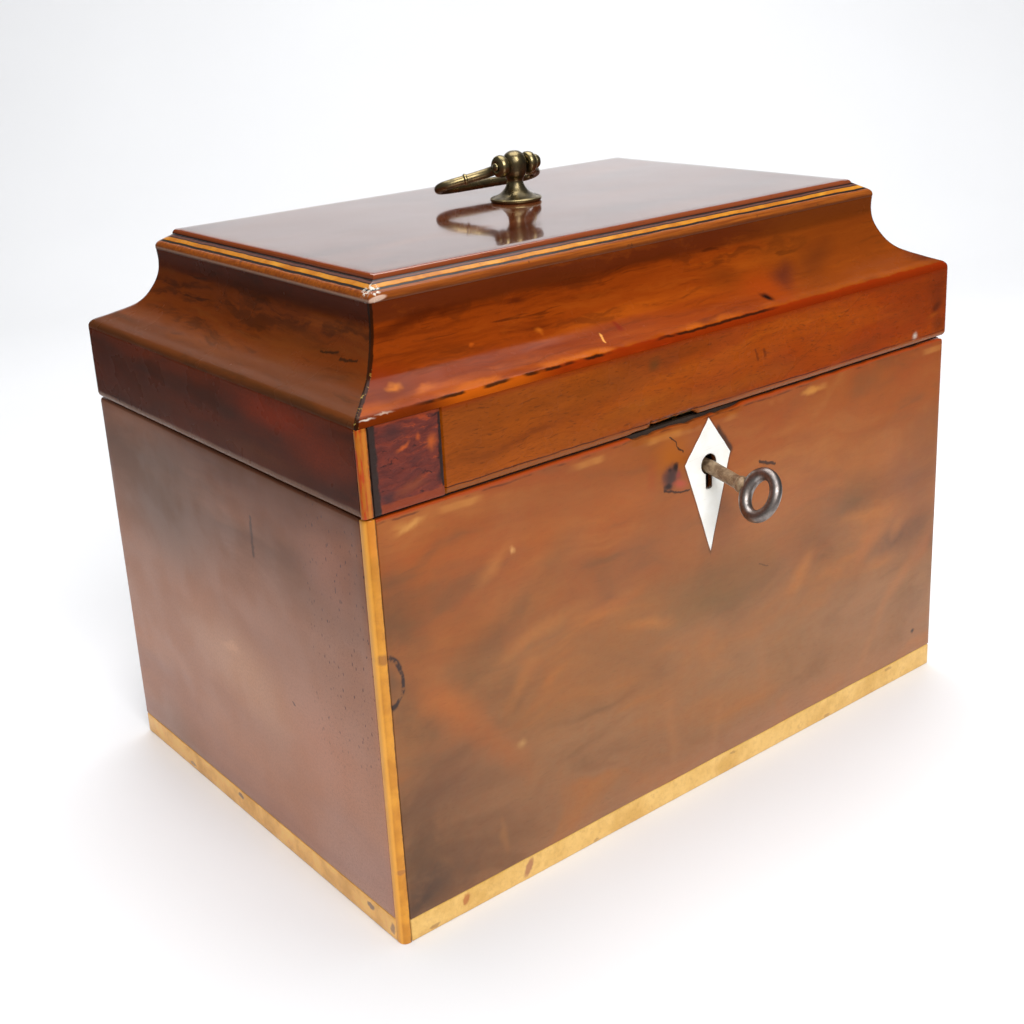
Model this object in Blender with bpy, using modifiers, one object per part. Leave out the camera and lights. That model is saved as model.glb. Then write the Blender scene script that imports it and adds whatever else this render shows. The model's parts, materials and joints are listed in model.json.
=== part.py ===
"""Tea caddy: a veneered wooden box with a hinged, coved lid, a swinging brass
handle, a lock with its key, and two lined compartments under loose inner lids.

Frame: metres, +Z up, +X along the front, -Y out of the front face. The origin is
the centre of the underside.
"""

import math

import bmesh
import bpy
from mathutils import Matrix, Vector

MM = 0.001

# Driving dimensions, in millimetres.
BODY_W, BODY_D, BODY_H = 220.0, 149.0, 116.0
GAP = 0.3            # clearance between pieces that touch
VENEER = 1.2
BOARD = 9.0
EDGING_H, EDGING_T = 6.5, 3.0
STRING_X, STRING_Y = 2.6, 3.0

LID_OVER_X, LID_OVER_Y = 0.8, 0.5
LID_Z0 = 117.4
RAIL_TOP = 139.9
RAIL_T = 9.8
COVE_Z0 = 140.2
COVE_H = 21.8
COVE_INSET = 17.1
COVE_INNER = 26.0
BAND_IN0, BAND_IN1 = 17.4, 21.2
BAND_Z0, BAND_Z1, BAND_Z2 = 162.3, 164.0, 165.9
PANEL_INSET = 21.6
PANEL_Z0, PANEL_Z1 = 162.3, 167.3
PATCH_X1 = -87.7

DIVIDER_HALF = 3.0
INNER_TOP = 103.5
LINING_WALL = 2.0
INNER_LID_Z0, INNER_LID_Z1 = 103.8, 109.8
INNER_LIFT = 28.0

HINGE_X = 65.0
HINGE_HALF = 12.5
HINGE_Y, HINGE_Z = 77.2, 116.7
KNUCKLE_R, PIN_HOLE_R, PIN_R = 1.9, 1.15, 0.85
LEAF_T = 0.9
LEAF_Y0 = 67.0

LOCK_X = 2.5
HOOK_DX = 9.0
KEY_X, KEY_Z = 2.4, 100.4
KEY_DROOP = math.radians(6.0)
KEY_ROLL = math.radians(29.0)
KEYHOLE_R, KEYHOLE_SLOT, KEYHOLE_Z, KEYHOLE_BOTTOM = 3.0, 1.25, 101.0, 93.6

POST_X, POST_Y = 2.0, 5.0
PIVOT_H = 11.0       # handle pivot above the lid top
BAIL_R = 1.5
BAIL_DIP = math.radians(23.6)

X1 = BODY_W / 2
Y1 = BODY_D / 2
LX = X1 + LID_OVER_X
LY = Y1 + LID_OVER_Y

for old in list(bpy.data.objects):
    bpy.data.objects.remove(old, do_unlink=True)

scene = bpy.context.scene
caddy = bpy.data.collections.new("tea_caddy")
cutters = bpy.data.collections.new("tea_caddy_cutters")
scene.collection.children.link(caddy)
scene.collection.children.link(cutters)


def material(name, colour, roughness, metallic=0.0):
    mat = bpy.data.materials.new(name)
    mat.use_nodes = True
    shader = mat.node_tree.nodes["Principled BSDF"]
    shader.inputs["Base Color"].default_value = (*colour, 1.0)
    shader.inputs["Roughness"].default_value = roughness
    shader.inputs["Metallic"].default_value = metallic
    mat.diffuse_color = (*colour, 1.0)
    return mat


M = {
    "front_mahogany": material("front_mahogany", (0.33, 0.12, 0.035), 0.35),
    "side_mahogany": material("side_mahogany", (0.12, 0.045, 0.03), 0.42),
    "fascia_mahogany": material("fascia_mahogany", (0.30, 0.09, 0.02), 0.28),
    "cove_mahogany": material("cove_mahogany", (0.13, 0.032, 0.015), 0.30),
    "panel_mahogany": material("panel_mahogany", (0.16, 0.04, 0.018), 0.16),
    "carcase_wood": material("carcase_wood", (0.30, 0.17, 0.08), 0.6),
    "boxwood": material("boxwood", (0.72, 0.48, 0.18), 0.38),
    "tea_lead": material("tea_lead", (0.40, 0.41, 0.42), 0.45, 1.0),
    "brass": material("brass", (0.50, 0.38, 0.16), 0.32, 1.0),
    "aged_brass": material("aged_brass", (0.22, 0.17, 0.08), 0.35, 1.0),
    "iron": material("iron", (0.20, 0.17, 0.15), 0.5, 1.0),
    "bone": material("bone", (0.80, 0.75, 0.64), 0.4),
}


def adopt(obj, name, mat=None, helper=False):
    """Names an object, gives it its material and puts it in the right collection."""
    obj.name = name
    obj.data.name = name
    for owner in list(obj.users_collection):
        owner.objects.unlink(obj)
    if helper:
        cutters.objects.link(obj)
        obj.hide_render = True
        obj.display_type = "WIRE"
    else:
        caddy.objects.link(obj)
    if mat:
        obj.data.materials.clear()
        obj.data.materials.append(M[mat])
    return obj


def box(name, x, y, z, mat=None, helper=False, bevel=0.0, segments=2):
    """A block between two corners, given in millimetres."""
    mesh = bpy.data.meshes.new(name)
    bm = bmesh.new()
    bmesh.ops.create_cube(bm, size=1.0)
    size = Vector((x[1] - x[0], y[1] - y[0], z[1] - z[0])) * MM
    bmesh.ops.scale(bm, vec=size, verts=bm.verts)
    bm.to_mesh(mesh)
    bm.free()
    obj = bpy.data.objects.new(name, mesh)
    obj.location = Vector((sum(x), sum(y), sum(z))) * (MM / 2)
    adopt(obj, name, mat, helper)
    if bevel:
        soften(obj, bevel, segments)
    return obj


def soften(obj, width, segments=2, angle=40.0):
    mod = obj.modifiers.new("round_edges", "BEVEL")
    mod.width = width * MM
    mod.segments = segments
    mod.limit_method = "ANGLE"
    mod.angle_limit = math.radians(angle)
    return mod


def rod(name, radius, start, end, mat=None, helper=False, sides=20, radius2=None):
    """A round bar or a cone between two points, in millimetres."""
    a, b = Vector(start), Vector(end)
    mesh = bpy.data.meshes.new(name)
    bm = bmesh.new()
    bmesh.ops.create_cone(
        bm, cap_ends=True, segments=sides, radius1=radius * MM,
        radius2=(radius if radius2 is None else radius2) * MM, depth=(b - a).length * MM,
    )
    bm.to_mesh(mesh)
    bm.free()
    obj = bpy.data.objects.new(name, mesh)
    turn = (b - a).to_track_quat("Z", "Y").to_matrix().to_4x4()
    obj.matrix_world = Matrix.Translation((a + b) * (MM / 2)) @ turn
    adopt(obj, name, mat, helper)
    smooth(obj)
    return obj


def turned(name, profile, where, mat=None, helper=False, steps=28):
    """A turned shape: the profile is (radius, height) from top to bottom, in millimetres."""
    mesh = bpy.data.meshes.new(name)
    bm = bmesh.new()
    verts = [bm.verts.new((r * MM, 0.0, h * MM)) for r, h in profile]
    for a, b in zip(verts, verts[1:]):
        bm.edges.new((a, b))
    bm.to_mesh(mesh)
    bm.free()
    obj = bpy.data.objects.new(name, mesh)
    obj.location = Vector(where) * MM
    adopt(obj, name, mat, helper)
    mod = obj.modifiers.new("turn", "SCREW")
    mod.axis = "Z"
    mod.angle = 2 * math.pi
    mod.steps = steps
    mod.render_steps = steps
    mod.use_merge_vertices = True
    mod.merge_threshold = 0.00001
    mod.use_smooth_shade = True
    return obj


def smooth(obj, angle=35.0):
    obj.data.shade_smooth()
    obj.data.set_sharp_from_angle(angle=math.radians(angle))


def as_mesh(curve_obj, name, mat=None, helper=False):
    """Turns a curve object into a closed mesh object in the same place."""
    scene.collection.objects.link(curve_obj)
    bpy.context.view_layer.update()
    graph = bpy.context.evaluated_depsgraph_get()
    mesh = bpy.data.meshes.new_from_object(curve_obj.evaluated_get(graph))
    bm = bmesh.new()
    bm.from_mesh(mesh)
    bmesh.ops.remove_doubles(bm, verts=bm.verts, dist=0.000005)
    bmesh.ops.recalc_face_normals(bm, faces=bm.faces)
    bm.to_mesh(mesh)
    bm.free()
    obj = bpy.data.objects.new(name, mesh)
    obj.matrix_world = curve_obj.matrix_world
    data = curve_obj.data
    bpy.data.objects.remove(curve_obj, do_unlink=True)
    bpy.data.curves.remove(data)
    adopt(obj, name, mat, helper)
    return obj


def outline(name, points, half, frame, mat=None, helper=False):
    """A flat outline in the frame's XY plane, thickened by half each way along its Z."""
    data = bpy.data.curves.new(name, "CURVE")
    data.dimensions = "2D"
    data.fill_mode = "BOTH"
    data.extrude = half * MM
    spline = data.splines.new("POLY")
    spline.points.add(len(points) - 1)
    for point, (u, v) in zip(spline.points, points):
        point.co = (u * MM, v * MM, 0.0, 1.0)
    spline.use_cyclic_u = True
    obj = bpy.data.objects.new(name, data)
    obj.matrix_world = frame
    return as_mesh(obj, name, mat, helper)


def tube(name, points, radius, frame, mat=None, helper=False, cyclic=False, resolution=3):
    """A round wire through the given points, in millimetres."""
    data = bpy.data.curves.new(name, "CURVE")
    data.dimensions = "3D"
    data.bevel_depth = radius * MM
    data.bevel_resolution = resolution
    data.use_fill_caps = not cyclic
    spline = data.splines.new("POLY")
    spline.points.add(len(points) - 1)
    for point, co in zip(spline.points, points):
        point.co = (*(Vector(co) * MM), 1.0)
    spline.use_cyclic_u = cyclic
    obj = bpy.data.objects.new(name, data)
    obj.matrix_world = frame
    made = as_mesh(obj, name, mat, helper)
    smooth(made, 50.0)
    return made


def combine(obj, other, operation):
    mod = obj.modifiers.new(operation.lower(), "BOOLEAN")
    mod.operation = operation
    mod.solver = "EXACT"
    mod.object = other
    return obj


def cut(obj, *others):
    for other in others:
        combine(obj, other, "DIFFERENCE")
    return obj


def join(obj, *others):
    for other in others:
        combine(obj, other, "UNION")
    return obj


def xz_frame(y):
    """A frame whose XY plane is the upright plane at this Y, seen from the front."""
    return Matrix.Translation((0, y * MM, 0)) @ Matrix.Rotation(math.pi / 2, 4, "X")


def grown(points, by):
    """The outline of a convex polygon moved outwards by a distance."""
    count = len(points)
    centre = Vector((sum(p[0] for p in points) / count, sum(p[1] for p in points) / count))
    lines = []
    for i in range(count):
        a, b = Vector(points[i]), Vector(points[(i + 1) % count])
        d = (b - a).normalized()
        n = Vector((d.y, -d.x))
        if n.dot(a - centre) < 0:
            n = -n
        lines.append((a + n * by, d))
    out = []
    for i in range(count):
        (p, d), (q, e) = lines[i - 1], lines[i]
        t = ((q - p).x * e.y - (q - p).y * e.x) / (d.x * e.y - d.y * e.x)
        out.append(tuple(p + d * t))
    return out


# ---------------------------------------------------------------- the box body

base_board = box("base_board", (-X1 + EDGING_T + GAP, X1 - EDGING_T - GAP),
                 (-Y1 + EDGING_T + GAP, Y1), (0, EDGING_H), "carcase_wood")
box("base_edging_front", (-X1 + STRING_X + GAP, X1), (-Y1, -Y1 + EDGING_T),
    (0, EDGING_H), "boxwood", bevel=0.4)
for side, sign in (("left", -1), ("right", 1)):
    box("base_edging_" + side, sorted((sign * (X1 - EDGING_T), sign * X1)),
        (-Y1 + EDGING_T + GAP, Y1), (0, EDGING_H), "boxwood", bevel=0.4)

BZ0 = EDGING_H + GAP
BX = X1 - VENEER - GAP
front_board = box("front_board", (-BX, BX), (-Y1 + VENEER + GAP, -Y1 + VENEER + GAP + BOARD),
                  (BZ0, BODY_H), "carcase_wood")
back_board = box("back_board", (-BX, BX), (Y1 - BOARD, Y1), (BZ0, BODY_H), "side_mahogany")
FRONT_IN = -Y1 + VENEER + GAP + BOARD
BACK_IN = Y1 - BOARD
SIDE_IN = BX - BOARD
left_board = box("left_board", (-BX, -SIDE_IN), (FRONT_IN + GAP, BACK_IN - GAP),
                 (BZ0, BODY_H), "carcase_wood")
right_board = box("right_board", (SIDE_IN, BX), (FRONT_IN + GAP, BACK_IN - GAP),
                  (BZ0, BODY_H), "carcase_wood")

front_veneer = box("front_veneer", (-X1 + STRING_X + GAP, X1), (-Y1, -Y1 + VENEER),
                   (BZ0, BODY_H), "front_mahogany")
box("left_veneer", (-X1, -X1 + VENEER), (-Y1 + STRING_Y + GAP, Y1), (BZ0, BODY_H), "side_mahogany")
box("right_veneer", (X1 - VENEER, X1), (-Y1 + VENEER + GAP, Y1), (BZ0, BODY_H), "side_mahogany")
box("corner_string", (-X1, -X1 + STRING_X), (-Y1, -Y1 + STRING_Y), (0, BODY_H),
    "boxwood", bevel=0.5)
cut(front_board, box("corner_rebate", (-X1 - 1, -X1 + STRING_X + GAP),
                     (-Y1 - 1, -Y1 + STRING_Y + GAP), (-1, BODY_H + 1), helper=True))

# ------------------------------------------------------------------ the inside

divider = box("compartment_divider", (-DIVIDER_HALF, DIVIDER_HALF),
              (FRONT_IN + GAP, BACK_IN - GAP), (BZ0, INNER_TOP), "carcase_wood")
for side, sign in (("left", -1), ("right", 1)):
    outer = sorted((sign * (DIVIDER_HALF + GAP), sign * (SIDE_IN - GAP)))
    lining = box("tea_lining_" + side, outer, (FRONT_IN + 2 * GAP, BACK_IN - 2 * GAP),
                 (BZ0, INNER_TOP), "tea_lead")
    w = LINING_WALL
    cut(lining, box("lining_hollow_" + side, (outer[0] + w, outer[1] - w),
                    (FRONT_IN + 2 * GAP + w, BACK_IN - 2 * GAP - w),
                    (BZ0 + w, INNER_TOP + 5), helper=True))
    spans = sorted((sign * 0.25, sign * (SIDE_IN - 0.5)))
    inner_lid = box("inner_lid_" + side, spans, (FRONT_IN + 0.6, BACK_IN - 0.9),
                    (INNER_LID_Z0, INNER_LID_Z1), "side_mahogany", bevel=0.8)
    kx, ky = sum(spans) / 2, (FRONT_IN + 0.6 + BACK_IN - 0.9) / 2
    cut(inner_lid, rod("knob_hole_" + side, 2.3, (kx, ky, INNER_LID_Z0 - 2),
                       (kx, ky, INNER_LID_Z1 + 2), helper=True))
    knob = [(0, 12.0), (2.0, 11.8), (3.7, 11.0), (4.8, 9.6), (5.2, 8.0), (4.8, 6.4),
            (3.6, 5.0), (2.6, 3.8), (2.3, 2.6), (2.6, 1.8), (4.3, 1.3), (4.6, 0.8),
            (4.4, 0.3), (2.0, 0.3), (2.0, -5.5), (0, -5.5)]
    turned("inner_knob_" + side, knob, (kx, ky, INNER_LID_Z1), "bone")

# --------------------------------------------------------------------- the lid

PROFILE = [
    # (inset from the lid's outer face, height above the cove's underside)
    (COVE_INNER, 0.0), (0.25, 0.0), (0.45, 0.25), (1.1, 0.55), (2.2, 1.0), (3.9, 1.7),
    (6.1, 2.6), (8.3, 3.6), (10.5, 4.8), (11.6, 5.8), (12.7, 7.0), (13.8, 8.3),
    (14.9, 10.2), (15.8, 11.9), (16.5, 13.5), (16.9, 15.7), (17.05, 18.2),
    (17.1, COVE_H - 0.9), (17.4, COVE_H - 0.25), (17.9, COVE_H), (COVE_INNER, COVE_H),
]
RAIL = [(RAIL_T, LID_Z0), (0.35, LID_Z0), (0.0, LID_Z0 + 0.35), (0.0, RAIL_TOP - 0.7),
        (0.2, RAIL_TOP - 0.2), (0.7, RAIL_TOP), (RAIL_T, RAIL_TOP)]


def mitred(name, section, side, mat):
    """A straight moulding along one side of the lid with 45 degree ends.

    The section is (inset from the lid's outer face, height), in millimetres.
    """
    along, across = (LX, LY) if side in ("front", "back") else (LY, LX)
    # Local X is the inset, local Y is up, local Z runs along the side.
    inward = {"front": Vector((0, 1, 0)), "back": Vector((0, -1, 0)),
              "left": Vector((1, 0, 0)), "right": Vector((-1, 0, 0))}[side]
    up = Vector((0, 0, 1))
    run = inward.cross(up)
    frame = Matrix((inward, up, run)).transposed().to_4x4()
    frame.translation = -inward * across * MM
    obj = outline(name, section, along + 2, frame, mat)
    world = obj.matrix_world.copy()
    bm = bmesh.new()
    bm.from_mesh(obj.data)
    bm.transform(world)
    obj.matrix_world = Matrix.Identity(4)
    outer = -inward * across * MM
    for way in (run, -run):
        corner = outer + way * along * MM
        # The mitre plane runs from the outer corner inwards at 45 degrees, and
        # stands off it by half the clearance.
        normal = (way + inward).normalized()
        at = corner - normal * (GAP / 2) * MM
        cut_all = bm.verts[:] + bm.edges[:] + bm.faces[:]
        made = bmesh.ops.bisect_plane(bm, geom=cut_all, plane_co=at, plane_no=normal,
                                      clear_outer=True, dist=1e-7)
        edges = [e for e in made["geom_cut"] if isinstance(e, bmesh.types.BMEdge)]
        bmesh.ops.contextual_create(bm, geom=edges)
    bmesh.ops.recalc_face_normals(bm, faces=bm.faces)
    bm.to_mesh(obj.data)
    bm.free()
    return obj


rails = {s: mitred("lid_%s_rail" % s, RAIL, s, "fascia_mahogany" if s == "front" else "side_mahogany")
         for s in ("front", "back", "left", "right")}
cove_section = [(i, COVE_Z0 + h) for i, h in PROFILE]
coves = {s: mitred("lid_cove_%s" % s, cove_section, s, "cove_mahogany")
         for s in ("front", "back", "left", "right")}

box("lid_corner_string", (-LX, -LX + 2.9), (-LY, -LY + STRING_Y), (LID_Z0, RAIL_TOP - 0.1),
    "boxwood", bevel=0.4)
string_rebate = box("lid_string_rebate", (-LX - 1, -LX + 2.9 + GAP), (-LY - 1, -LY + STRING_Y + GAP),
                    (LID_Z0 - 1, RAIL_TOP + 1), helper=True)
cut(rails["front"], string_rebate)
cut(rails["left"], string_rebate)
PATCH_X0 = -LX + 2.9 + GAP
box("lid_fascia_patch", (PATCH_X0, PATCH_X1), (-LY, -LY + 1.5), (LID_Z0, RAIL_TOP - 0.1),
    "cove_mahogany", bevel=0.25, segments=1)
cut(rails["front"], box("patch_rebate", (-LX + 2.9, PATCH_X1 + GAP), (-LY - 1, -LY + 1.5 + GAP),
                        (LID_Z0 - 1, RAIL_TOP + 1), helper=True))

# Banding round the lid's top: upright outside, sloping up to the panel.
band = box("lid_top_banding", (-LX + BAND_IN0, LX - BAND_IN0), (-LY + BAND_IN0, LY - BAND_IN0),
           (BAND_Z0, BAND_Z1), "boxwood")
bm = bmesh.new()
bm.from_mesh(band.data)
top = max(bm.faces, key=lambda f: f.calc_center_median().z)
bmesh.ops.inset_region(bm, faces=[top], thickness=(BAND_IN1 - BAND_IN0) * MM)
for v in top.verts:
    v.co.z += (BAND_Z2 - BAND_Z1) * MM
bm.to_mesh(band.data)
bm.free()
cut(band, box("banding_hollow", (-LX + BAND_IN1, LX - BAND_IN1), (-LY + BAND_IN1, LY - BAND_IN1),
              (BAND_Z0 - 2, BAND_Z2 + 2), helper=True))

panel = box("lid_top_panel", (-LX + PANEL_INSET, LX - PANEL_INSET),
            (-LY + PANEL_INSET, LY - PANEL_INSET), (PANEL_Z0, PANEL_Z1), "panel_mahogany")
edge = panel.modifiers.new("round_top", "BEVEL")
edge.width = 2.3 * MM
edge.segments = 4
edge.limit_method = "WEIGHT"
weights = panel.data.attributes.new("bevel_weight_edge", "FLOAT", "EDGE")
for i, e in enumerate(panel.data.edges):
    if all(panel.data.vertices[v].co.z > 0 for v in e.vertices):
        weights.data[i].value = 1.0

# ------------------------------------------------------------------ the handle

LID_TOP = PANEL_Z1
post_profile = [
    (0, 15.2), (1.6, 15.0), (3.0, 14.1), (3.9, 12.7), (4.1, 11.2), (3.9, 9.6), (3.3, 8.5),
    (2.9, 7.7), (2.8, 7.0), (3.1, 6.2), (3.9, 5.2), (5.0, 4.2), (5.6, 3.4), (5.8, 2.6),
    (7.2, 2.3), (7.85, 1.7), (7.85, 0.9), (7.5, 0.3), (2.1, 0.3), (2.1, -11.0), (0, -11.0),
]
post = turned("handle_post", post_profile, (POST_X, POST_Y, LID_TOP), "aged_brass", steps=32)
PZ = LID_TOP + PIVOT_H
cut(post, rod("pivot_hole", 1.35, (POST_X - 9, POST_Y, PZ), (POST_X + 9, POST_Y, PZ), helper=True))
cut(panel, rod("post_hole", 2.4, (POST_X, POST_Y, PANEL_Z0 - 2), (POST_X, POST_Y, PANEL_Z1 + 2),
               helper=True))
nut = rod("handle_nut", 4.6, (POST_X, POST_Y, PANEL_Z0 - 3.8), (POST_X, POST_Y, PANEL_Z0 - GAP),
          "brass", sides=6)
cut(nut, rod("nut_thread", 2.4, (POST_X, POST_Y, PANEL_Z0 - 6), (POST_X, POST_Y, PANEL_Z0 + 2),
             helper=True))

pin = rod("handle_pivot_pin", 1.0, (POST_X - 8.4, POST_Y, PZ), (POST_X + 8.9, POST_Y, PZ),
          "aged_brass", sides=16)
join(pin,
     rod("pin_head", 1.9, (POST_X + 7.7, POST_Y, PZ), (POST_X + 9.4, POST_Y, PZ), helper=True,
         sides=16, radius2=1.5),
     rod("pin_tail", 1.5, (POST_X - 8.7, POST_Y, PZ), (POST_X - 7.7, POST_Y, PZ), helper=True,
         sides=16))

# The bail lies in its own plane: X across, local Y away from the pivot.
bail_frame = (Matrix.Translation(Vector((POST_X, POST_Y, PZ)) * MM)
              @ Matrix.Rotation(-BAIL_DIP, 4, "X"))
half_path = [(5.8, 2.4), (6.6, 4.4), (8.6, 6.4), (11.4, 8.3), (14.6, 10.2), (17.4, 12.2),
             (18.6, 14.2), (18.0, 16.2), (15.8, 17.3), (12.4, 17.6), (6.4, 17.5), (0.0, 17.4)]


def spline(points, per=3):
    """Points along a smooth curve that passes through the given ones."""
    out = []
    for i in range(len(points) - 1):
        p0, p1 = points[max(i - 1, 0)], points[i]
        p2, p3 = points[i + 1], points[min(i + 2, len(points) - 1)]
        for k in range(per):
            t = k / per
            out.append(tuple(
                0.5 * ((2 * b) + (c - a) * t + (2 * a - 5 * b + 4 * c - d) * t * t
                       + (3 * b - a - 3 * c + d) * t ** 3)
                for a, b, c, d in zip(p0, p1, p2, p3)))
    out.append(tuple(points[-1]))
    return out


whole = [(-x, y, 0.0) for x, y in half_path] + [(x, y, 0.0) for x, y in reversed(half_path[:-1])]
bail = tube("handle_bail", spline(whole, 2), BAIL_R, bail_frame, "aged_brass")
for tag, sx in (("left", -1), ("right", 1)):
    eye = rod("bail_eye_" + tag, 3.5, (POST_X + sx * 4.4, POST_Y, PZ), (POST_X + sx * 7.4, POST_Y, PZ),
              helper=True, sides=24)
    join(bail, eye)
    collar_at = Vector((sx * 12.6, 9.0, 0.0))
    lean = Vector((sx * 3.2, 1.95, 0.0)).normalized()
    a = bail_frame @ ((collar_at - lean * 0.8) * MM) / MM
    b = bail_frame @ ((collar_at + lean * 0.8) * MM) / MM
    join(bail, rod("bail_collar_" + tag, 2.3, a, b, helper=True, sides=16))
for tag, sx in (("left", -1), ("right", 1)):
    cut(bail, rod("bail_bore_" + tag, 1.35, (POST_X + sx * 3.0, POST_Y, PZ),
                  (POST_X + sx * 9.0, POST_Y, PZ), helper=True))

# ------------------------------------------------------------------ the hinges


def screw(name, at, way, mat="brass", length=9.0):
    """A countersunk slotted screw with its head's face at a point, going in along way."""
    a, w = Vector(at), Vector(way).normalized()
    shank = rod(name, 1.0, a + w * 0.5, a + w * length, mat, sides=12)
    head = rod(name + "_head", 2.0, a, a + w * 1.0, helper=True, sides=16, radius2=1.0)
    join(shank, head)
    across = Vector((0.24, 3.0, 0.0)) if abs(w.z) > 0.5 else Vector((0.24, 0.0, 3.0))
    depth = w * 0.45
    lo = [min(a[i] - across[i] - w[i] * 0.5, a[i] + across[i] + depth[i]) for i in range(3)]
    hi = [max(a[i] + across[i] - w[i] * 0.5, a[i] + across[i] + depth[i]) for i in range(3)]
    for i in range(3):
        if abs(w[i]) > 0.5:
            ends = (a[i] - w[i] * 0.5, a[i] + w[i] * 0.45)
            lo[i], hi[i] = min(ends), max(ends)
        else:
            lo[i], hi[i] = a[i] - across[i], a[i] + across[i]
    cut(shank, box(name + "_slot", (lo[0], hi[0]), (lo[1], hi[1]), (lo[2], hi[2]), helper=True))
    return shank


def sink(name, at, way):
    """The countersunk hole that a screw passes through, with clearance."""
    a, w = Vector(at), Vector(way).normalized()
    cone = rod(name, 2.6, a - w * 0.25, a + w * 1.05, helper=True, sides=16, radius2=1.3)
    return join(cone, rod(name + "_through", 1.35, a + w * 0.5, a + w * 3.0, helper=True, sides=12))


for side, cx in (("left", -HINGE_X), ("right", HINGE_X)):
    x0, x1 = cx - HINGE_HALF, cx + HINGE_HALF
    k0, k1 = cx - 4.6, cx + 4.6
    z_body = (HINGE_Z - 0.2 - LEAF_T, HINGE_Z - 0.2)
    z_lid = (HINGE_Z + 0.2, HINGE_Z + 0.2 + LEAF_T)
    body_leaf = box("hinge_%s_body_leaf" % side, (x0, x1), (LEAF_Y0, 74.7), z_body, "brass")
    for tag, (a, b) in (("a", (x0, k0 - 0.35)), ("b", (k1 + 0.35, x1))):
        join(body_leaf,
             box("leaf_tab_%s_%s" % (side, tag), (a, b), (74.0, HINGE_Y), z_body, helper=True),
             rod("knuckle_%s_%s" % (side, tag), KNUCKLE_R, (a, HINGE_Y, HINGE_Z),
                 (b, HINGE_Y, HINGE_Z), helper=True, sides=18))
    cut(body_leaf, rod("bore_%s_body" % side, PIN_HOLE_R, (x0 - 2, HINGE_Y, HINGE_Z),
                       (x1 + 2, HINGE_Y, HINGE_Z), helper=True, sides=14))
    lid_leaf = box("hinge_%s_lid_leaf" % side, (x0, x1), (LEAF_Y0, 74.7), z_lid, "brass")
    join(lid_leaf,
         box("leaf_tab_%s_c" % side, (k0, k1), (74.0, HINGE_Y), z_lid, helper=True),
         rod("knuckle_%s_c" % side, KNUCKLE_R, (k0, HINGE_Y, HINGE_Z), (k1, HINGE_Y, HINGE_Z),
             helper=True, sides=18))
    cut(lid_leaf, rod("bore_%s_lid" % side, PIN_HOLE_R, (x0 - 2, HINGE_Y, HINGE_Z),
                      (x1 + 2, HINGE_Y, HINGE_Z), helper=True, sides=14))
    rod("hinge_%s_pin" % side, PIN_R, (x0 - 0.4, HINGE_Y, HINGE_Z), (x1 + 0.4, HINGE_Y, HINGE_Z),
        "brass", sides=14)
    cut(back_board, box("body_leaf_bed_" + side, (x0 - GAP, x1 + GAP), (LEAF_Y0 - GAP, Y1 + 2),
                        (z_body[0] - GAP, BODY_H + 2), helper=True))
    cut(rails["back"], box("lid_leaf_bed_" + side, (x0 - GAP, x1 + GAP), (LEAF_Y0 - GAP, LY + 2),
                           (LID_Z0 - 2, z_lid[1] + GAP), helper=True))
    for tag, sx in (("a", cx - 7.5), ("b", cx + 7.5)):
        top_at, low_at = (sx, 70.6, z_body[1]), (sx, 70.6, z_lid[0])
        screw("hinge_%s_body_screw_%s" % (side, tag), top_at, (0, 0, -1))
        screw("hinge_%s_lid_screw_%s" % (side, tag), low_at, (0, 0, 1))
        cut(body_leaf, sink("sink_b_%s_%s" % (side, tag), top_at, (0, 0, -1)))
        cut(lid_leaf, sink("sink_l_%s_%s" % (side, tag), low_at, (0, 0, 1)))
        cut(back_board, rod("pilot_b_%s_%s" % (side, tag), 1.35, (sx, 70.6, 118),
                            (sx, 70.6, z_body[1] - 9.5), helper=True, sides=12))
        cut(rails["back"], rod("pilot_l_%s_%s" % (side, tag), 1.35, (sx, 70.6, 115),
                               (sx, 70.6, z_lid[0] + 9.5), helper=True, sides=12))

# -------------------------------------------------------------------- the lock

CASE_FRONT, CASE_BACK = -71.4, -64.2
case = box("lock_case", (LOCK_X - 25, LOCK_X + 25), (CASE_BACK - 1.0, CASE_BACK), (90.0, 115.8), "brass")
join(case, box("case_box", (LOCK_X - 19, LOCK_X + 19), (CASE_FRONT, CASE_BACK - 0.5), (89.0, 115.8),
               helper=True))
cut(case, box("case_hollow", (LOCK_X - 18, LOCK_X + 18), (CASE_FRONT - 2, CASE_BACK - 1.0),
              (90.0, 114.6), helper=True))
cut(front_board,
    box("lock_mortise", (LOCK_X - 19 - GAP, LOCK_X + 19 + GAP), (CASE_FRONT - GAP, FRONT_IN + 2),
        (89.0 - GAP, BODY_H + 2), helper=True),
    box("plate_bed", (LOCK_X - 25 - GAP, LOCK_X + 25 + GAP), (CASE_BACK - 1.0 - GAP, FRONT_IN + 2),
        (90.0 - GAP, BODY_H + 2), helper=True))
for tag, sx in (("left", -1), ("right", 1)):
    hx = LOCK_X + sx * HOOK_DX
    cut(case, box("hook_slot_" + tag, (hx - 1.4, hx + 1.4), (-70.8, -66.1), (113, 118), helper=True))
    at = (LOCK_X + sx * 22.0, CASE_BACK, 103.0)
    screw("lock_screw_" + tag, at, (0, -1, 0), length=7.5)
    cut(case, sink("sink_case_" + tag, at, (0, -1, 0)))
    cut(front_board, rod("pilot_case_" + tag, 1.35, (at[0], CASE_BACK + 2, at[2]),
                         (at[0], CASE_BACK - 8.0, at[2]), helper=True, sides=12))

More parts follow.
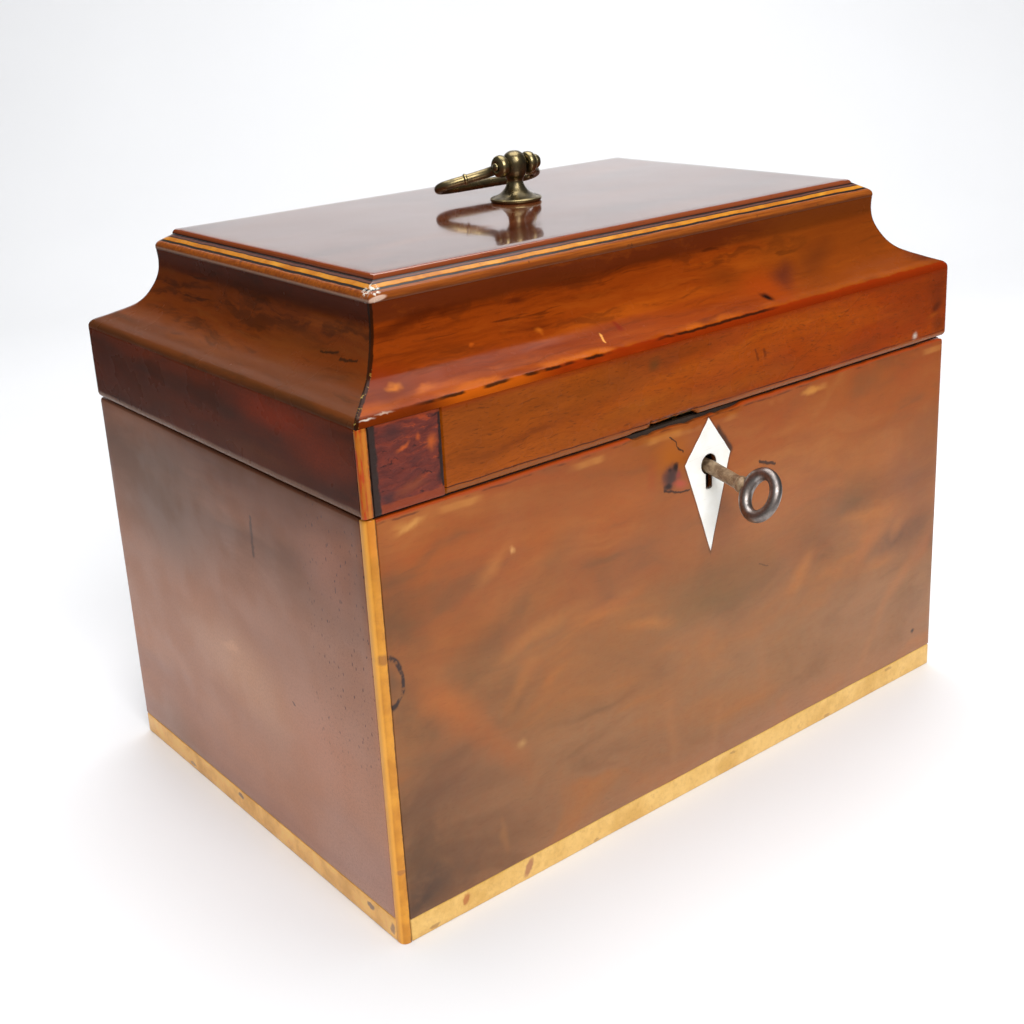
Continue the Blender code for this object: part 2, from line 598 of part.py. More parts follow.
link = box("lock_link_plate", (LOCK_X - 17, LOCK_X + 17), (-72.5, -65.7), (117.1, 118.3), "brass")
cut(rails["front"], box("link_bed", (LOCK_X - 17 - GAP, LOCK_X + 17 + GAP), (-72.5 - GAP, -60),
                        (LID_Z0 - 2, 118.3 + GAP), helper=True))
for tag, sx in (("left", -1), ("right", 1)):
    hx = LOCK_X + sx * HOOK_DX
    join(link, box("hook_" + tag, (hx - 0.8, hx + 0.8), (-70.3, -66.7), (109.6, 117.6), helper=True))
    cut(link, box("hook_eye_" + tag, (hx - 3, hx + 3), (-69.7, -67.3), (110.3, 112.9), helper=True))
    at = (LOCK_X + sx * 14.0, -69.1, 117.1)
    screw("link_screw_" + tag, at, (0, 0, 1), length=8.0)
    cut(link, sink("sink_link_" + tag, at, (0, 0, 1)))
    cut(rails["front"], rod("pilot_link_" + tag, 1.35, (at[0], at[1], 115), (at[0], at[1], 125.8),
                            helper=True, sides=12))

bolt = box("lock_bolt", (LOCK_X - HOOK_DX - 7.4, LOCK_X + HOOK_DX - 4.4), (-70.3, -66.0),
           (106.3, 109.3), "brass")
for tag, sx in (("left", -1), ("right", 1)):
    hx = LOCK_X + sx * HOOK_DX
    join(bolt,
         box("bolt_upright_" + tag, (hx - 7.4, hx - 5.8), (-69.2, -67.8), (108.5, 112.4), helper=True),
         box("bolt_finger_" + tag, (hx - 7.0, hx - 1.3), (-69.2, -67.8), (110.8, 112.4), helper=True))
cut(bolt, box("talon", (-5.4, 6.4), (-72, -64), (104, 107.9), helper=True))

# ------------------------------------------------------- the keyhole and the key

KITE = [(2.6, 114.4), (-6.9, 102.8), (2.9, 74.7), (11.1, 102.6)]
plate = outline("escutcheon", KITE, 0.65, xz_frame(-Y1 + 0.5), "bone")
cut(front_veneer, outline("escutcheon_bed", grown(KITE, GAP), 3.0, xz_frame(-Y1), helper=True))


def keyhole(name, radius, slot, y0, y1):
    """The keyhole's round part and its slot, as one cutter."""
    hole = rod(name, radius, (KEY_X, y0, KEYHOLE_Z), (KEY_X, y1, KEYHOLE_Z), helper=True, sides=28)
    join(hole, box(name + "_slot", (KEY_X - slot, KEY_X + slot), (y0, y1),
                   (KEYHOLE_BOTTOM - (radius - KEYHOLE_R), KEYHOLE_Z), helper=True))
    return hole


cut(plate, keyhole("keyhole_plate", KEYHOLE_R, KEYHOLE_SLOT, -78, -72))
cut(front_board, keyhole("keyhole_board", KEYHOLE_R + 0.4, KEYHOLE_SLOT + 0.3, -76, -69))

# Worn notches along the veneer's top edge above the lock.
CHIPS = [(-27.5, 117.5), (-27.0, 115.7), (-24.0, 115.2), (-20.5, 115.4), (-17.0, 114.6),
         (-12.0, 115.0), (-8.0, 114.7), (-3.0, 115.2), (6.0, 115.2), (9.0, 114.5),
         (12.5, 114.9), (15.0, 115.6), (15.6, 117.5)]
cut(front_veneer, outline("edge_chips", CHIPS, 4.0, xz_frame(-Y1 - 2.5), helper=True))

# The key's own frame: local Y runs along it into the lock, local Z is up the bow.
key_frame = (Matrix.Translation(Vector((KEY_X, -Y1, KEY_Z)) * MM)
             @ Matrix.Rotation(KEY_DROOP, 4, "X") @ Matrix.Rotation(KEY_ROLL, 4, "Y"))


def in_key(x, y, z):
    return key_frame @ (Vector((x, y, z)) * MM) / MM


key = rod("key", 1.85, in_key(0, -14.9, 0), in_key(0, 8.2, 0), "iron", sides=20)
BOW_Y, BOW_A, BOW_B, BOW_R = -19.4, 5.1, 6.3, 1.6
ring = [(0.0, BOW_Y + BOW_A * math.cos(2 * math.pi * i / 32), BOW_B * math.sin(2 * math.pi * i / 32))
        for i in range(32)]
join(key, tube("key_bow", ring, BOW_R, key_frame, helper=True, cyclic=True, resolution=3))
join(key, rod("key_shoulder", 2.4, in_key(0, -13.4, 0), in_key(0, -12.0, 0), helper=True, sides=20))
bit = box("key_bit", (-0.8, 0.8), (4.2, 8.0), (-6.4, 0.0), helper=True)
bit.matrix_world = key_frame @ bit.matrix_basis
join(key, bit)
notch = box("key_bit_notch", (-2, 2), (5.6, 6.6), (-7.5, -4.6), helper=True)
notch.matrix_world = key_frame @ notch.matrix_basis
cut(key, notch)

bpy.context.view_layer.update()
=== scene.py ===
"""The looks of the tea caddy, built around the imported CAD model."""
import json
import math

import bmesh
import bpy
import numpy as np
from mathutils import Matrix, Vector, noise
from mathutils.geometry import tessellate_polygon

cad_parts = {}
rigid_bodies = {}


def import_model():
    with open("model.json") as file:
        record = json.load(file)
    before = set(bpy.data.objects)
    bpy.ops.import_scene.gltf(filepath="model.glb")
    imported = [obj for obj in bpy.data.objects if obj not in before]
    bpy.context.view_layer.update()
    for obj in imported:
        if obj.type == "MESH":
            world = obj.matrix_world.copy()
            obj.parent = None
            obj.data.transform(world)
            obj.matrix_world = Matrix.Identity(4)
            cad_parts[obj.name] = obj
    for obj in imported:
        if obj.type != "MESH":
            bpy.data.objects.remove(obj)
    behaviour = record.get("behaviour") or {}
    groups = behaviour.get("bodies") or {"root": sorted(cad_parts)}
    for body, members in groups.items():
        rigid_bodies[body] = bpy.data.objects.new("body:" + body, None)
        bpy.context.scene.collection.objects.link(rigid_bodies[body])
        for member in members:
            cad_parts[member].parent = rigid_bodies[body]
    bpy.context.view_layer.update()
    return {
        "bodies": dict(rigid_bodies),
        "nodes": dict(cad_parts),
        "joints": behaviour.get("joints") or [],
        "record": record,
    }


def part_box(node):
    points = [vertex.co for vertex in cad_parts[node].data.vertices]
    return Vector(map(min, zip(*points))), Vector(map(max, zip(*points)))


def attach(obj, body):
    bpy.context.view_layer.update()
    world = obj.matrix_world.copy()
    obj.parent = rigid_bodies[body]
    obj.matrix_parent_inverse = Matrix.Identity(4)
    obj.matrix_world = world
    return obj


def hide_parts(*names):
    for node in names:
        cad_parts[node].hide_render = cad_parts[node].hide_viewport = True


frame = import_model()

MM = 0.001
scene = bpy.context.scene
NODES = frame["nodes"]


def bx(node):
    """A CAD node's box in millimetres: (x0, y0, z0, x1, y1, z1)."""
    lo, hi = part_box(node)
    return [c * 1000 for c in (*lo, *hi)]


# ============================================================ node graphs

# Last trim of each material's colour, as a multiplier.
TRIM = {
    "front_veneer": (0.98, 0.80, 0.50),
    "left_side_veneer": (2.20, 1.88, 1.50), "right_side_veneer": (1.70, 1.40, 1.15), "back_board_wood": (1.55, 1.30, 1.10),
    "lid_front_fascia": (0.98, 0.56, 0.08), "rail_left_wood": (1.55, 0.58, 0.06), "rail_right_wood": (1.9, 0.85, 0.40),
    "rail_back_wood": (1.9, 0.85, 0.40),
    "cove_front_wood": (0.90, 0.50, 0.14), "cove_side_wood": (1.12, 0.84, 0.34), "cove_back_wood": (1.12, 0.84, 0.34),
    "lid_fascia_patch": (1.15, 0.60, 0.36),
    "corner_string_box": (1.15, 1.12, 0.75), "corner_string_lid_box": (0.62, 0.33, 0.05),
    "edging_front_box": (1.04, 1.20, 1.60), "edging_side_box": (1.76, 2.26, 4.6),
}


class Graph:
    """A material whose nodes read the object's own rest coordinates, in millimetres."""

    def __init__(self, name):
        self.m = bpy.data.materials.new(name)
        self.trim = TRIM.get(name)
        self.m.use_nodes = True
        self.t = self.m.node_tree
        self.t.nodes.clear()
        self.out = self.t.nodes.new("ShaderNodeOutputMaterial")
        self.b = self.t.nodes.new("ShaderNodeBsdfPrincipled")
        self.link(self.b.outputs[0], self.out.inputs[0])
        tc = self.t.nodes.new("ShaderNodeTexCoord")
        self.P = self.vm("SCALE", tc.outputs["Object"], scale=1000.0)
        self.x, self.y, self.z = self.sep(self.P)

    def link(self, a, b):
        self.t.links.new(a, b)

    def put(self, socket, value):
        if isinstance(value, bpy.types.NodeSocket):
            self.link(value, socket)
        elif value is not None:
            if hasattr(socket, "default_value"):
                cur = socket.default_value
                if hasattr(cur, "__len__") and not hasattr(value, "__len__"):
                    value = [value] * len(cur)
                if hasattr(cur, "__len__") and len(cur) == 4 and len(value) == 3:
                    value = (*value, 1.0)
                socket.default_value = value

    def vm(self, op, a, b=None, scale=None):
        n = self.t.nodes.new("ShaderNodeVectorMath")
        n.operation = op
        self.put(n.inputs[0], a)
        if b is not None:
            self.put(n.inputs[1], b)
        if scale is not None:
            self.put(n.inputs["Scale"], scale)
        return n.outputs["Value"] if op in ("LENGTH", "DOT_PRODUCT", "DISTANCE") else n.outputs[0]

    def ma(self, op, a, b=None, c=None, clamp=False):
        n = self.t.nodes.new("ShaderNodeMath")
        n.operation = op
        n.use_clamp = clamp
        self.put(n.inputs[0], a)
        if b is not None:
            self.put(n.inputs[1], b)
        if c is not None:
            self.put(n.inputs[2], c)
        return n.outputs[0]

    def sep(self, v):
        n = self.t.nodes.new("ShaderNodeSeparateXYZ")
        self.put(n.inputs[0], v)
        return n.outputs[0], n.outputs[1], n.outputs[2]

    def comb(self, x, y, z):
        n = self.t.nodes.new("ShaderNodeCombineXYZ")
        for s, v in zip(n.inputs, (x, y, z)):
            self.put(s, v)
        return n.outputs[0]

    def mapping(self, v, loc=(0, 0, 0), rot=(0, 0, 0), scale=(1, 1, 1), kind="POINT"):
        n = self.t.nodes.new("ShaderNodeMapping")
        n.vector_type = kind
        self.put(n.inputs["Vector"], v)
        n.inputs["Location"].default_value = loc
        n.inputs["Rotation"].default_value = [math.radians(r) for r in rot]
        n.inputs["Scale"].default_value = scale
        return n.outputs[0]

    def noise(self, v, scale=1.0, detail=4.0, rough=0.55, dist=0.0, colour=False, w=None):
        n = self.t.nodes.new("ShaderNodeTexNoise")
        if w is not None:
            n.noise_dimensions = "4D"
            n.inputs["W"].default_value = w
        self.put(n.inputs["Vector"], v)
        n.inputs["Scale"].default_value = scale
        n.inputs["Detail"].default_value = detail
        n.inputs["Roughness"].default_value = rough
        n.inputs["Distortion"].default_value = dist
        return n.outputs["Color"] if colour else n.outputs["Fac"]

    def voronoi(self, v, scale=1.0, feature="F1", rand=1.0):
        n = self.t.nodes.new("ShaderNodeTexVoronoi")
        n.feature = feature
        self.put(n.inputs["Vector"], v)
        n.inputs["Scale"].default_value = scale
        n.inputs["Randomness"].default_value = rand
        return n.outputs["Distance"]

    def ramp(self, fac, stops, interp="EASE"):
        n = self.t.nodes.new("ShaderNodeValToRGB")
        n.color_ramp.interpolation = interp
        els = n.color_ramp.elements
        while len(els) < len(stops):
            els.new(0.5)
        for e, (p, c) in zip(els, stops):
            e.position = p
            e.color = (*c, 1.0) if hasattr(c, "__len__") else (c, c, c, 1.0)
        self.put(n.inputs[0], fac)
        return n.outputs[0]

    def rng(self, v, a, b, c=0.0, d=1.0, smooth=True):
        n = self.t.nodes.new("ShaderNodeMapRange")
        n.interpolation_type = "SMOOTHSTEP" if smooth else "LINEAR"
        self.put(n.inputs[0], v)
        for i, k in enumerate((a, b, c, d)):
            self.put(n.inputs[i + 1], k)
        return n.outputs[0]

    def mix(self, fac, a, b, blend="MIX"):
        n = self.t.nodes.new("ShaderNodeMix")
        n.data_type = "RGBA"
        n.blend_type = blend
        n.clamp_factor = True
        self.put(n.inputs[0], fac)
        self.put(n.inputs[6], a)
        self.put(n.inputs[7], b)
        return n.outputs[2]

    def mixf(self, fac, a, b):
        n = self.t.nodes.new("ShaderNodeMix")
        n.data_type = "FLOAT"
        n.clamp_factor = True
        self.put(n.inputs[0], fac)
        self.put(n.inputs[2], a)
        self.put(n.inputs[3], b)
        return n.outputs[0]

    def mul(self, *vals):
        out = vals[0]
        for v in vals[1:]:
            out = self.ma("MULTIPLY", out, v)
        return out

    def warp(self, v, scale, amount, seed=0.0, detail=2.0):
        """Moves the coordinates about by noise, in millimetres."""
        c = self.noise(self.vm("ADD", v, (seed, seed * 1.7, seed * 0.3)), scale, detail, colour=True)
        d = self.vm("SCALE", self.vm("SUBTRACT", c, (0.5, 0.5, 0.5)), scale=amount * 2)
        return self.vm("ADD", v, d)

    def blob(self, v, plane, c, r, angle=0.0, power=1.0):
        """A soft ellipse on a face, 1 at its centre and 0 at its rim."""
        if plane == "xz":
            m = self.mapping(v, (c[0], 0, c[1]), (0, -angle, 0), (r[0], 1e4, r[1]), "TEXTURE")
        elif plane == "yz":
            m = self.mapping(v, (0, c[0], c[1]), (angle, 0, 0), (1e4, r[0], r[1]), "TEXTURE")
        else:
            m = self.mapping(v, (c[0], c[1], 0), (0, 0, angle), (r[0], r[1], 1e4), "TEXTURE")
        n = self.t.nodes.new("ShaderNodeTexGradient")
        n.gradient_type = "SPHERICAL"
        self.link(m, n.inputs[0])
        s = self.rng(n.outputs["Fac"], 0.0, 1.0)
        return s if power == 1.0 else self.ma("POWER", s, power)

    def paint(self, col, v, plane, items, breakup=None):
        """Lays soft patches of colour over another; each is (centre, radii, angle, colour, strength)."""
        for c, r, ang, colour, strength in items:
            f = self.ma("MULTIPLY", self.blob(v, plane, c, r, ang), strength)
            if breakup is not None:
                f = self.ma("MULTIPLY", f, breakup)
            col = self.mix(f, col, colour)
        return col

    def segment(self, v, plane, a, b, width, soft=0.15):
        """A thin line from a to b on a face, 1 on the line."""
        i, j = {"xz": (0, 2), "yz": (1, 2), "xy": (0, 1)}[plane]
        p = self.sep(v)
        dx, dy = b[0] - a[0], b[1] - a[1]
        ll = dx * dx + dy * dy
        px, py = self.ma("SUBTRACT", p[i], a[0]), self.ma("SUBTRACT", p[j], a[1])
        t = self.ma("ADD", self.ma("MULTIPLY", px, dx / ll), self.ma("MULTIPLY", py, dy / ll), clamp=True)
        ex = self.ma("SUBTRACT", px, self.ma("MULTIPLY", t, dx))
        ey = self.ma("SUBTRACT", py, self.ma("MULTIPLY", t, dy))
        d = self.vm("LENGTH", self.comb(ex, ey, 0.0))
        return self.rng(d, width, width + soft, 1.0, 0.0)

    def line(self, v, plane, pts, width, soft=0.15):
        out = None
        for a, b in zip(pts, pts[1:]):
            s = self.segment(v, plane, a, b, width, soft)
            out = s if out is None else self.ma("MAXIMUM", out, s)
        return out

    def band(self, v, centre, width, soft):
        """1 where a value is within width of centre."""
        d = self.ma("ABSOLUTE", self.ma("SUBTRACT", v, centre))
        return self.rng(d, width, width + soft, 1.0, 0.0)

    def bump(self, height, distance=0.1, strength=1.0, normal=None):
        n = self.t.nodes.new("ShaderNodeBump")
        n.inputs["Strength"].default_value = strength
        n.inputs["Distance"].default_value = distance * MM
        self.put(n.inputs["Height"], height)
        if normal is not None:
            self.link(normal, n.inputs["Normal"])
        return n.outputs[0]

    def done(self, colour, rough, normal=None, metallic=None, **constants):
        if self.trim:
            colour = self.mix(1.0, colour, self.trim, "MULTIPLY")
        self.put(self.b.inputs["Base Color"], colour)
        self.put(self.b.inputs["Roughness"], rough)
        if metallic is not None:
            self.put(self.b.inputs["Metallic"], metallic)
        if normal is not None:
            self.link(normal, self.b.inputs["Normal"])
        for k, v in constants.items():
            self.b.inputs[k.replace("_", " ")].default_value = v
        return self.m


def pores(g, v, along, density=0.5, length=9.0, width=0.35, seed=0.0):
    """Short dark flecks along the grain. along is a mapping rotation that brings the grain to local X."""
    m = g.mapping(v, (seed, seed * 2.3, seed * 0.7), along, (1.0 / length, 1.0 / width, 1.0 / width))
    n = g.noise(m, 1.0, 2.0, 0.6)
    return g.rng(n, 0.60 - 0.06 * density, 0.72 - 0.06 * density)


def fibre(g, v, along, length=40.0, width=1.2, seed=0.0, detail=5.0):
    m = g.mapping(v, (seed, seed * 1.3, seed * 0.9), along, (1.0 / length, 1.0 / width, 1.0 / width))
    return g.noise(m, 1.0, detail, 0.6)


# ============================================================ materials

def mat_front():
    """Figured veneer: warm orange brown above, cloudy and darker below, with slanting amber streaks."""
    g = Graph("front_veneer")
    w = g.warp(g.P, 0.022, 9.0, 3.0, 3.0)
    # Broad clouds in the figure.
    cloud = g.noise(g.mapping(w, rot=(0, 28, 0), scale=(0.020, 0.02, 0.034)), 1.0, 4.0, 0.55)
    left_fig = g.noise(g.mapping(w, rot=(0, 52, 0), scale=(0.024, 0.02, 0.075)), 1.0, 3.0, 0.5, 0.8)
    right_fig = g.noise(g.mapping(w, (7, 0, 3), rot=(0, -50, 0), scale=(0.022, 0.02, 0.070)), 1.0, 3.0, 0.5, 0.8)
    side = g.rng(g.x, -45.0, 20.0)
    fig = g.mixf(side, left_fig, right_fig)
    height = g.ma("ADD", g.z, g.ma("MULTIPLY", g.ma("SUBTRACT", cloud, 0.5), 70.0))
    base = g.ramp(g.rng(height, 8.0, 118.0, smooth=False), [
        (0.0, (0.290, 0.165, 0.115)), (0.22, (0.305, 0.170, 0.105)), (0.45, (0.285, 0.140, 0.066)),
        (0.66, (0.300, 0.112, 0.036)), (0.88, (0.350, 0.104, 0.018)), (1.0, (0.335, 0.085, 0.013))])
    base = g.mix(g.rng(fig, 0.48, 0.78, 0.0, 0.8), base, (0.42, 0.170, 0.050))
    base = g.mix(g.rng(fig, 0.50, 0.30, 0.0, 0.55), base, (0.150, 0.080, 0.042))
    p = g.warp(g.P, 0.05, 4.5, 11.0, 3.0)
    rough_edge = g.rng(g.noise(p, 0.09, 4.0, 0.6), 0.30, 0.62, 0.45, 1.0)
    dark = (0.085, 0.050, 0.034)
    base = g.paint(base, p, "xz", [
        ((-104, 26), (30, 34), 0, (0.10, 0.060, 0.042), 0.85),
        ((-92, 12), (30, 20), 10, (0.115, 0.068, 0.052), 0.75),
        ((-103, 12), (9, 16), -40, (0.045, 0.035, 0.040), 0.9),
        ((-104, 88), (10, 30), 12, (0.130, 0.070, 0.036), 0.7),
        ((-100, 62), (12, 16), 30, (0.110, 0.062, 0.040), 0.7),
        ((-70, 78), (32, 8), 24, (0.170, 0.085, 0.042), 0.65),
        ((-56, 90), (22, 6), 35, (0.210, 0.100, 0.048), 0.5),
        ((-78, 60), (20, 7), 10, (0.185, 0.090, 0.042), 0.45),
        ((5, 66), (40, 16), 5, (0.165, 0.098, 0.050), 0.55),
        ((62, 72), (42, 11), 14, (0.185, 0.100, 0.052), 0.6),
        ((92, 54), (24, 8), 8, (0.120, 0.068, 0.048), 0.85),
        ((70, 48), (22, 8), 35, (0.170, 0.095, 0.055), 0.55),
        # Pale pinkish lower right: partly the wood's faded colour, partly a painted reflection of the floor.
        ((30, 32), (60, 26), 5, (0.300, 0.175, 0.110), 0.55),
        ((80, 18), (50, 22), -8, (0.330, 0.185, 0.125), 0.7),
        ((-20, 20), (40, 22), 0, (0.265, 0.140, 0.085), 0.6),
    ], rough_edge)
    # Amber streaks.
    amber = (0.47, 0.200, 0.062)
    base = g.paint(base, p, "xz", [
        ((-90, 60), (30, 9), -50, (0.440, 0.150, 0.035), 0.75),
        ((-76, 44), (26, 7), -48, (0.400, 0.150, 0.045), 0.60),
        ((-74, 95), (12, 3.4), 38, amber, 0.60),
        ((-60, 72), (22, 3.4), 8, amber, 0.50),
        ((-67, 60), (13, 4.6), 50, amber, 0.45),
        ((-22, 60), (15, 3.0), -16, amber, 0.60),
        ((-34, 71), (18, 3.4), 8, (0.43, 0.160, 0.045), 0.50),
        ((42, 56), (12, 5.0), 52, amber, 0.60),
        ((72, 66), (22, 3.6), -8, amber, 0.50),
        ((74, 54), (14, 6.0), 48, (0.440, 0.170, 0.052), 0.60),
        ((92, 58), (11, 4.0), 40, amber, 0.60),
        ((92, 38), (28, 4.0), 44, (0.430, 0.190, 0.085), 0.60),
        ((76, 18), (24, 3.6), 52, (0.400, 0.195, 0.105), 0.45),
        ((104, 46), (10, 5.0), 46, (0.460, 0.165, 0.050), 0.50),
        ((84, 84), (26, 12), 10, (0.400, 0.150, 0.050), 0.45),
        ((-38, 100), (70, 10), 0, (0.400, 0.140, 0.035), 0.40),
        ((-76, 17), (1.8, 8), 0, (0.420, 0.220, 0.090), 0.50),
        ((-14, 24), (4.0, 20), 4, (0.390, 0.190, 0.100), 0.40),
        ((6, 18), (3.0, 16), -5, (0.400, 0.200, 0.110), 0.35),
        ((24, 30), (4.0, 18), 6, (0.380, 0.190, 0.105), 0.30),
        ((4, 58), (34, 10), 0, (0.210, 0.135, 0.060), 0.30),
        ((-74, 18), (44, 26), 18, (0.175, 0.095, 0.078), 0.40),
        ((-90, 42), (32, 26), 0, (0.150, 0.072, 0.058), 0.45),
        ((100, 66), (20, 38), 0, (0.200, 0.082, 0.045), 0.50),
        ((26, 77), (52, 22), 0, (0.470, 0.205, 0.085), 0.42),
        # Pale pinkish low band: partly faded wood, partly a painted reflection of the floor.
        ((34, 7), (120, 12), 0, (0.420, 0.235, 0.200), 0.42),
        ((-50, 107), (62, 12), 0, (0.240, 0.082, 0.028), 0.40),
        ((76, 26), (44, 30), 0, (0.400, 0.225, 0.140), 0.30),
        ((0, 112), (120, 9), 0, (0.330, 0.110, 0.022), 0.35),
    ])
    # Fine grain and pores.
    fib = fibre(g, p, (0, 8, 0), 26.0, 0.9, 4.0)
    base = g.mix(g.rng(fib, 0.35, 0.70, 0.0, 0.09), base, (0.12, 0.050, 0.020))
    por = pores(g, w, (0, 62, 0), 0.2, 4.5, 0.30, 5.0)
    base = g.mix(g.ma("MULTIPLY", por, 0.14), base, (0.05, 0.022, 0.012))
    mott = g.noise(g.P, 0.35, 5.0, 0.65)
    base = g.mix(g.rng(mott, 0.30, 0.75, 0.0, 0.20), base, (0.52, 0.25, 0.10), "SOFT_LIGHT")
    # Light worn strip and old polish along the top edge.
    edge = g.ma("ADD", g.z, g.ma("MULTIPLY", g.ma("SUBTRACT", g.noise(g.P, 0.12, 3.0, 0.5), 0.5), 1.3))
    base = g.mix(g.mul(g.band(edge, 112.9, 0.5, 0.9), g.rng(g.noise(g.P, 0.06, 2.0), 0.45, 0.6), 0.6),
                 base, (0.54, 0.26, 0.080))
    base = g.mix(g.mul(g.rng(edge, 114.9, 115.4), 0.85), base, (0.40, 0.062, 0.005))
    base = g.mix(g.mul(g.band(edge, 114.7, 0.10, 0.30), g.rng(g.noise(g.P, 0.10, 3.0), 0.46, 0.60), 0.7), base, (0.11, 0.025, 0.008))
    base = g.paint(base, g.warp(g.P, 0.3, 1.2, 2.0), "xz", [
        ((-98, 112), (6, 1.5), 15, (0.60, 0.32, 0.11), 0.9),
        ((46, 112.6), (6, 1.6), 0, (0.56, 0.27, 0.07), 1.0),
        ((-68, 96.5), (1.3, 1.3), 0, (0.60, 0.34, 0.16), 1.0),
        ((-68.5, 41.5), (2.3, 2.3), 0, (0.42, 0.25, 0.13), 1.0),
        ((100.5, 15.5), (1.6, 1.3), 0, (0.035, 0.014, 0.010), 1.0),
    ])
    # Knot by the stringing: a dark broken arc.
    k = g.mapping(g.warp(g.P, 0.22, 1.3, 6.0), (-107.3, 0, 73.5), (0, 0, 0), (3.9, 1e4, 6.3), "TEXTURE")
    kr = g.vm("LENGTH", g.mapping(k, scale=(1, 0, 1)))
    arc = g.mul(g.band(kr, 1.0, 0.06, 0.13), g.rng(g.noise(g.P, 0.35, 3.0), 0.32, 0.48))
    base = g.mix(g.mul(g.rng(kr, 1.0, 0.2), 0.45), base, (0.10, 0.065, 0.055))
    base = g.mix(g.ma("MULTIPLY", arc, 0.92), base, (0.018, 0.012, 0.020))
    # Repair and cracks round the escutcheon.
    q = g.warp(g.P, 0.35, 1.1, 9.0, 3.0)
    base = g.paint(base, q, "xz", [
        ((-12, 107.5), (9.5, 9), 0, (0.400, 0.125, 0.010), 0.9),
        ((-19.5, 103.0), (3.0, 8.0), 0, (0.340, 0.080, 0.020), 0.6),
        ((-12.0, 100.9), (5.2, 4.6), 0, (0.300, 0.075, 0.045), 1.0),
        ((-12.4, 101.2), (4.4, 5.2), -10, (0.075, 0.036, 0.044), 1.0),
        ((-12.4, 101.2), (4.0, 4.8), -10, (0.060, 0.030, 0.038), 1.0),
        ((-8.6, 98.0), (4.0, 2.0), -14, (0.420, 0.085, 0.070), 1.0),
        ((-9.3, 101.0), (1.3, 1.7), 0, (0.260, 0.050, 0.060), 0.9),
        ((-10.6, 103.4), (1.6, 1.8), 0, (0.020, 0.008, 0.008), 1.0),
        ((-10.6, 103.4), (1.6, 1.8), 0, (0.020, 0.008, 0.008), 1.0),
        ((-13.4, 98.5), (2.2, 1.6), 0, (0.022, 0.010, 0.010), 1.0),
        ((-13.4, 98.5), (2.2, 1.6), 0, (0.022, 0.010, 0.010), 1.0),
        ((-12.9, 103.2), (1.2, 1.1), 0, (0.030, 0.014, 0.014), 0.9),
    ])
    cracks = g.line(g.warp(g.P, 0.8, 0.55, 1.0, 2.0), "xz", [(-12.5, 112.5), (-10.2, 110.6), (-9.6, 108.6),
                                                            (-7.4, 107.2)], 0.10, 0.22)
    crack2 = g.line(g.warp(g.P, 0.8, 0.5, 7.0, 2.0), "xz", [(-15.0, 97.6), (-11.2, 96.4), (-8.6, 95.6), (-5.4, 95.5)],
                    0.10, 0.40)
    crack3 = g.line(g.warp(g.P, 0.8, 0.5, 5.0, 2.0), "xz", [(23.4, 96.2), (26.2, 95.2), (30.0, 94.0)], 0.22, 0.5)
    crack4 = g.line(g.warp(g.P, 0.8, 0.5, 5.0, 2.0), "xz", [(23.4, 64.2), (27.2, 62.4)], 0.05, 0.3)
    allc = g.ma("MAXIMUM", g.ma("MAXIMUM", cracks, crack2), g.ma("MAXIMUM", crack3, g.ma("MULTIPLY", crack4, 0.6)))
    base = g.mix(g.ma("MULTIPLY", allc, 0.88), base, (0.022, 0.008, 0.005))
    # Dark joint line round the inlaid plate, and a painted shadow of the plate at its upper right.
    kite = [(2.6, 114.4), (-6.9, 102.8), (2.9, 74.7), (11.1, 102.6)]
    dist = None
    for i in range(4):
        a, b = Vector(kite[i]), Vector(kite[(i + 1) % 4])
        d = (b - a).normalized()
        n = Vector((-d.y, d.x))
        if n.dot(Vector((2.5, 100)) - a) > 0:
            n = -n
        e = g.ma("ADD", g.ma("MULTIPLY", g.x, n.x), g.ma("MULTIPLY", g.z, n.y))
        e = g.ma("SUBTRACT", e, n.dot(a))
        dist = e if dist is None else g.ma("MAXIMUM", dist, e)
    wob = g.ma("MULTIPLY", g.ma("SUBTRACT", g.noise(g.P, 0.5, 3.0), 0.5), 0.9)
    near = g.rng(g.ma("ADD", dist, wob), 0.25, 0.75, 1.0, 0.0)
    # Painted shadow cast by the plate, along its upper right edges.
    plate_shadow = g.mul(g.rng(g.blob(g.P, "xz", (8.6, 106.5), (6.0, 8.5), 0), 0.05, 0.35), g.rng(g.ma("ADD", dist, wob), 0.8, 2.0, 1.0, 0.0), 0.85)
    base = g.mix(g.ma("MAXIMUM", g.ma("MULTIPLY", near, 0.38), plate_shadow), base, (0.030, 0.014, 0.010))
    # Surface.
    rough = g.mixf(g.rng(g.noise(g.P, 0.05, 3.0), 0.35, 0.65), 0.30, 0.42)
    h = g.ma("ADD", g.ma("MULTIPLY", g.noise(g.P, 0.16, 3.0, 0.5), 0.8), g.ma("MULTIPLY", fib, 0.05))
    h = g.ma("SUBTRACT", h, g.ma("MULTIPLY", g.ma("ADD", allc, g.ma("MULTIPLY", por, 0.15)), 0.25))
    return g.done(base, rough, g.bump(h, 0.10, 0.5), Specular_IOR_Level=0.34)


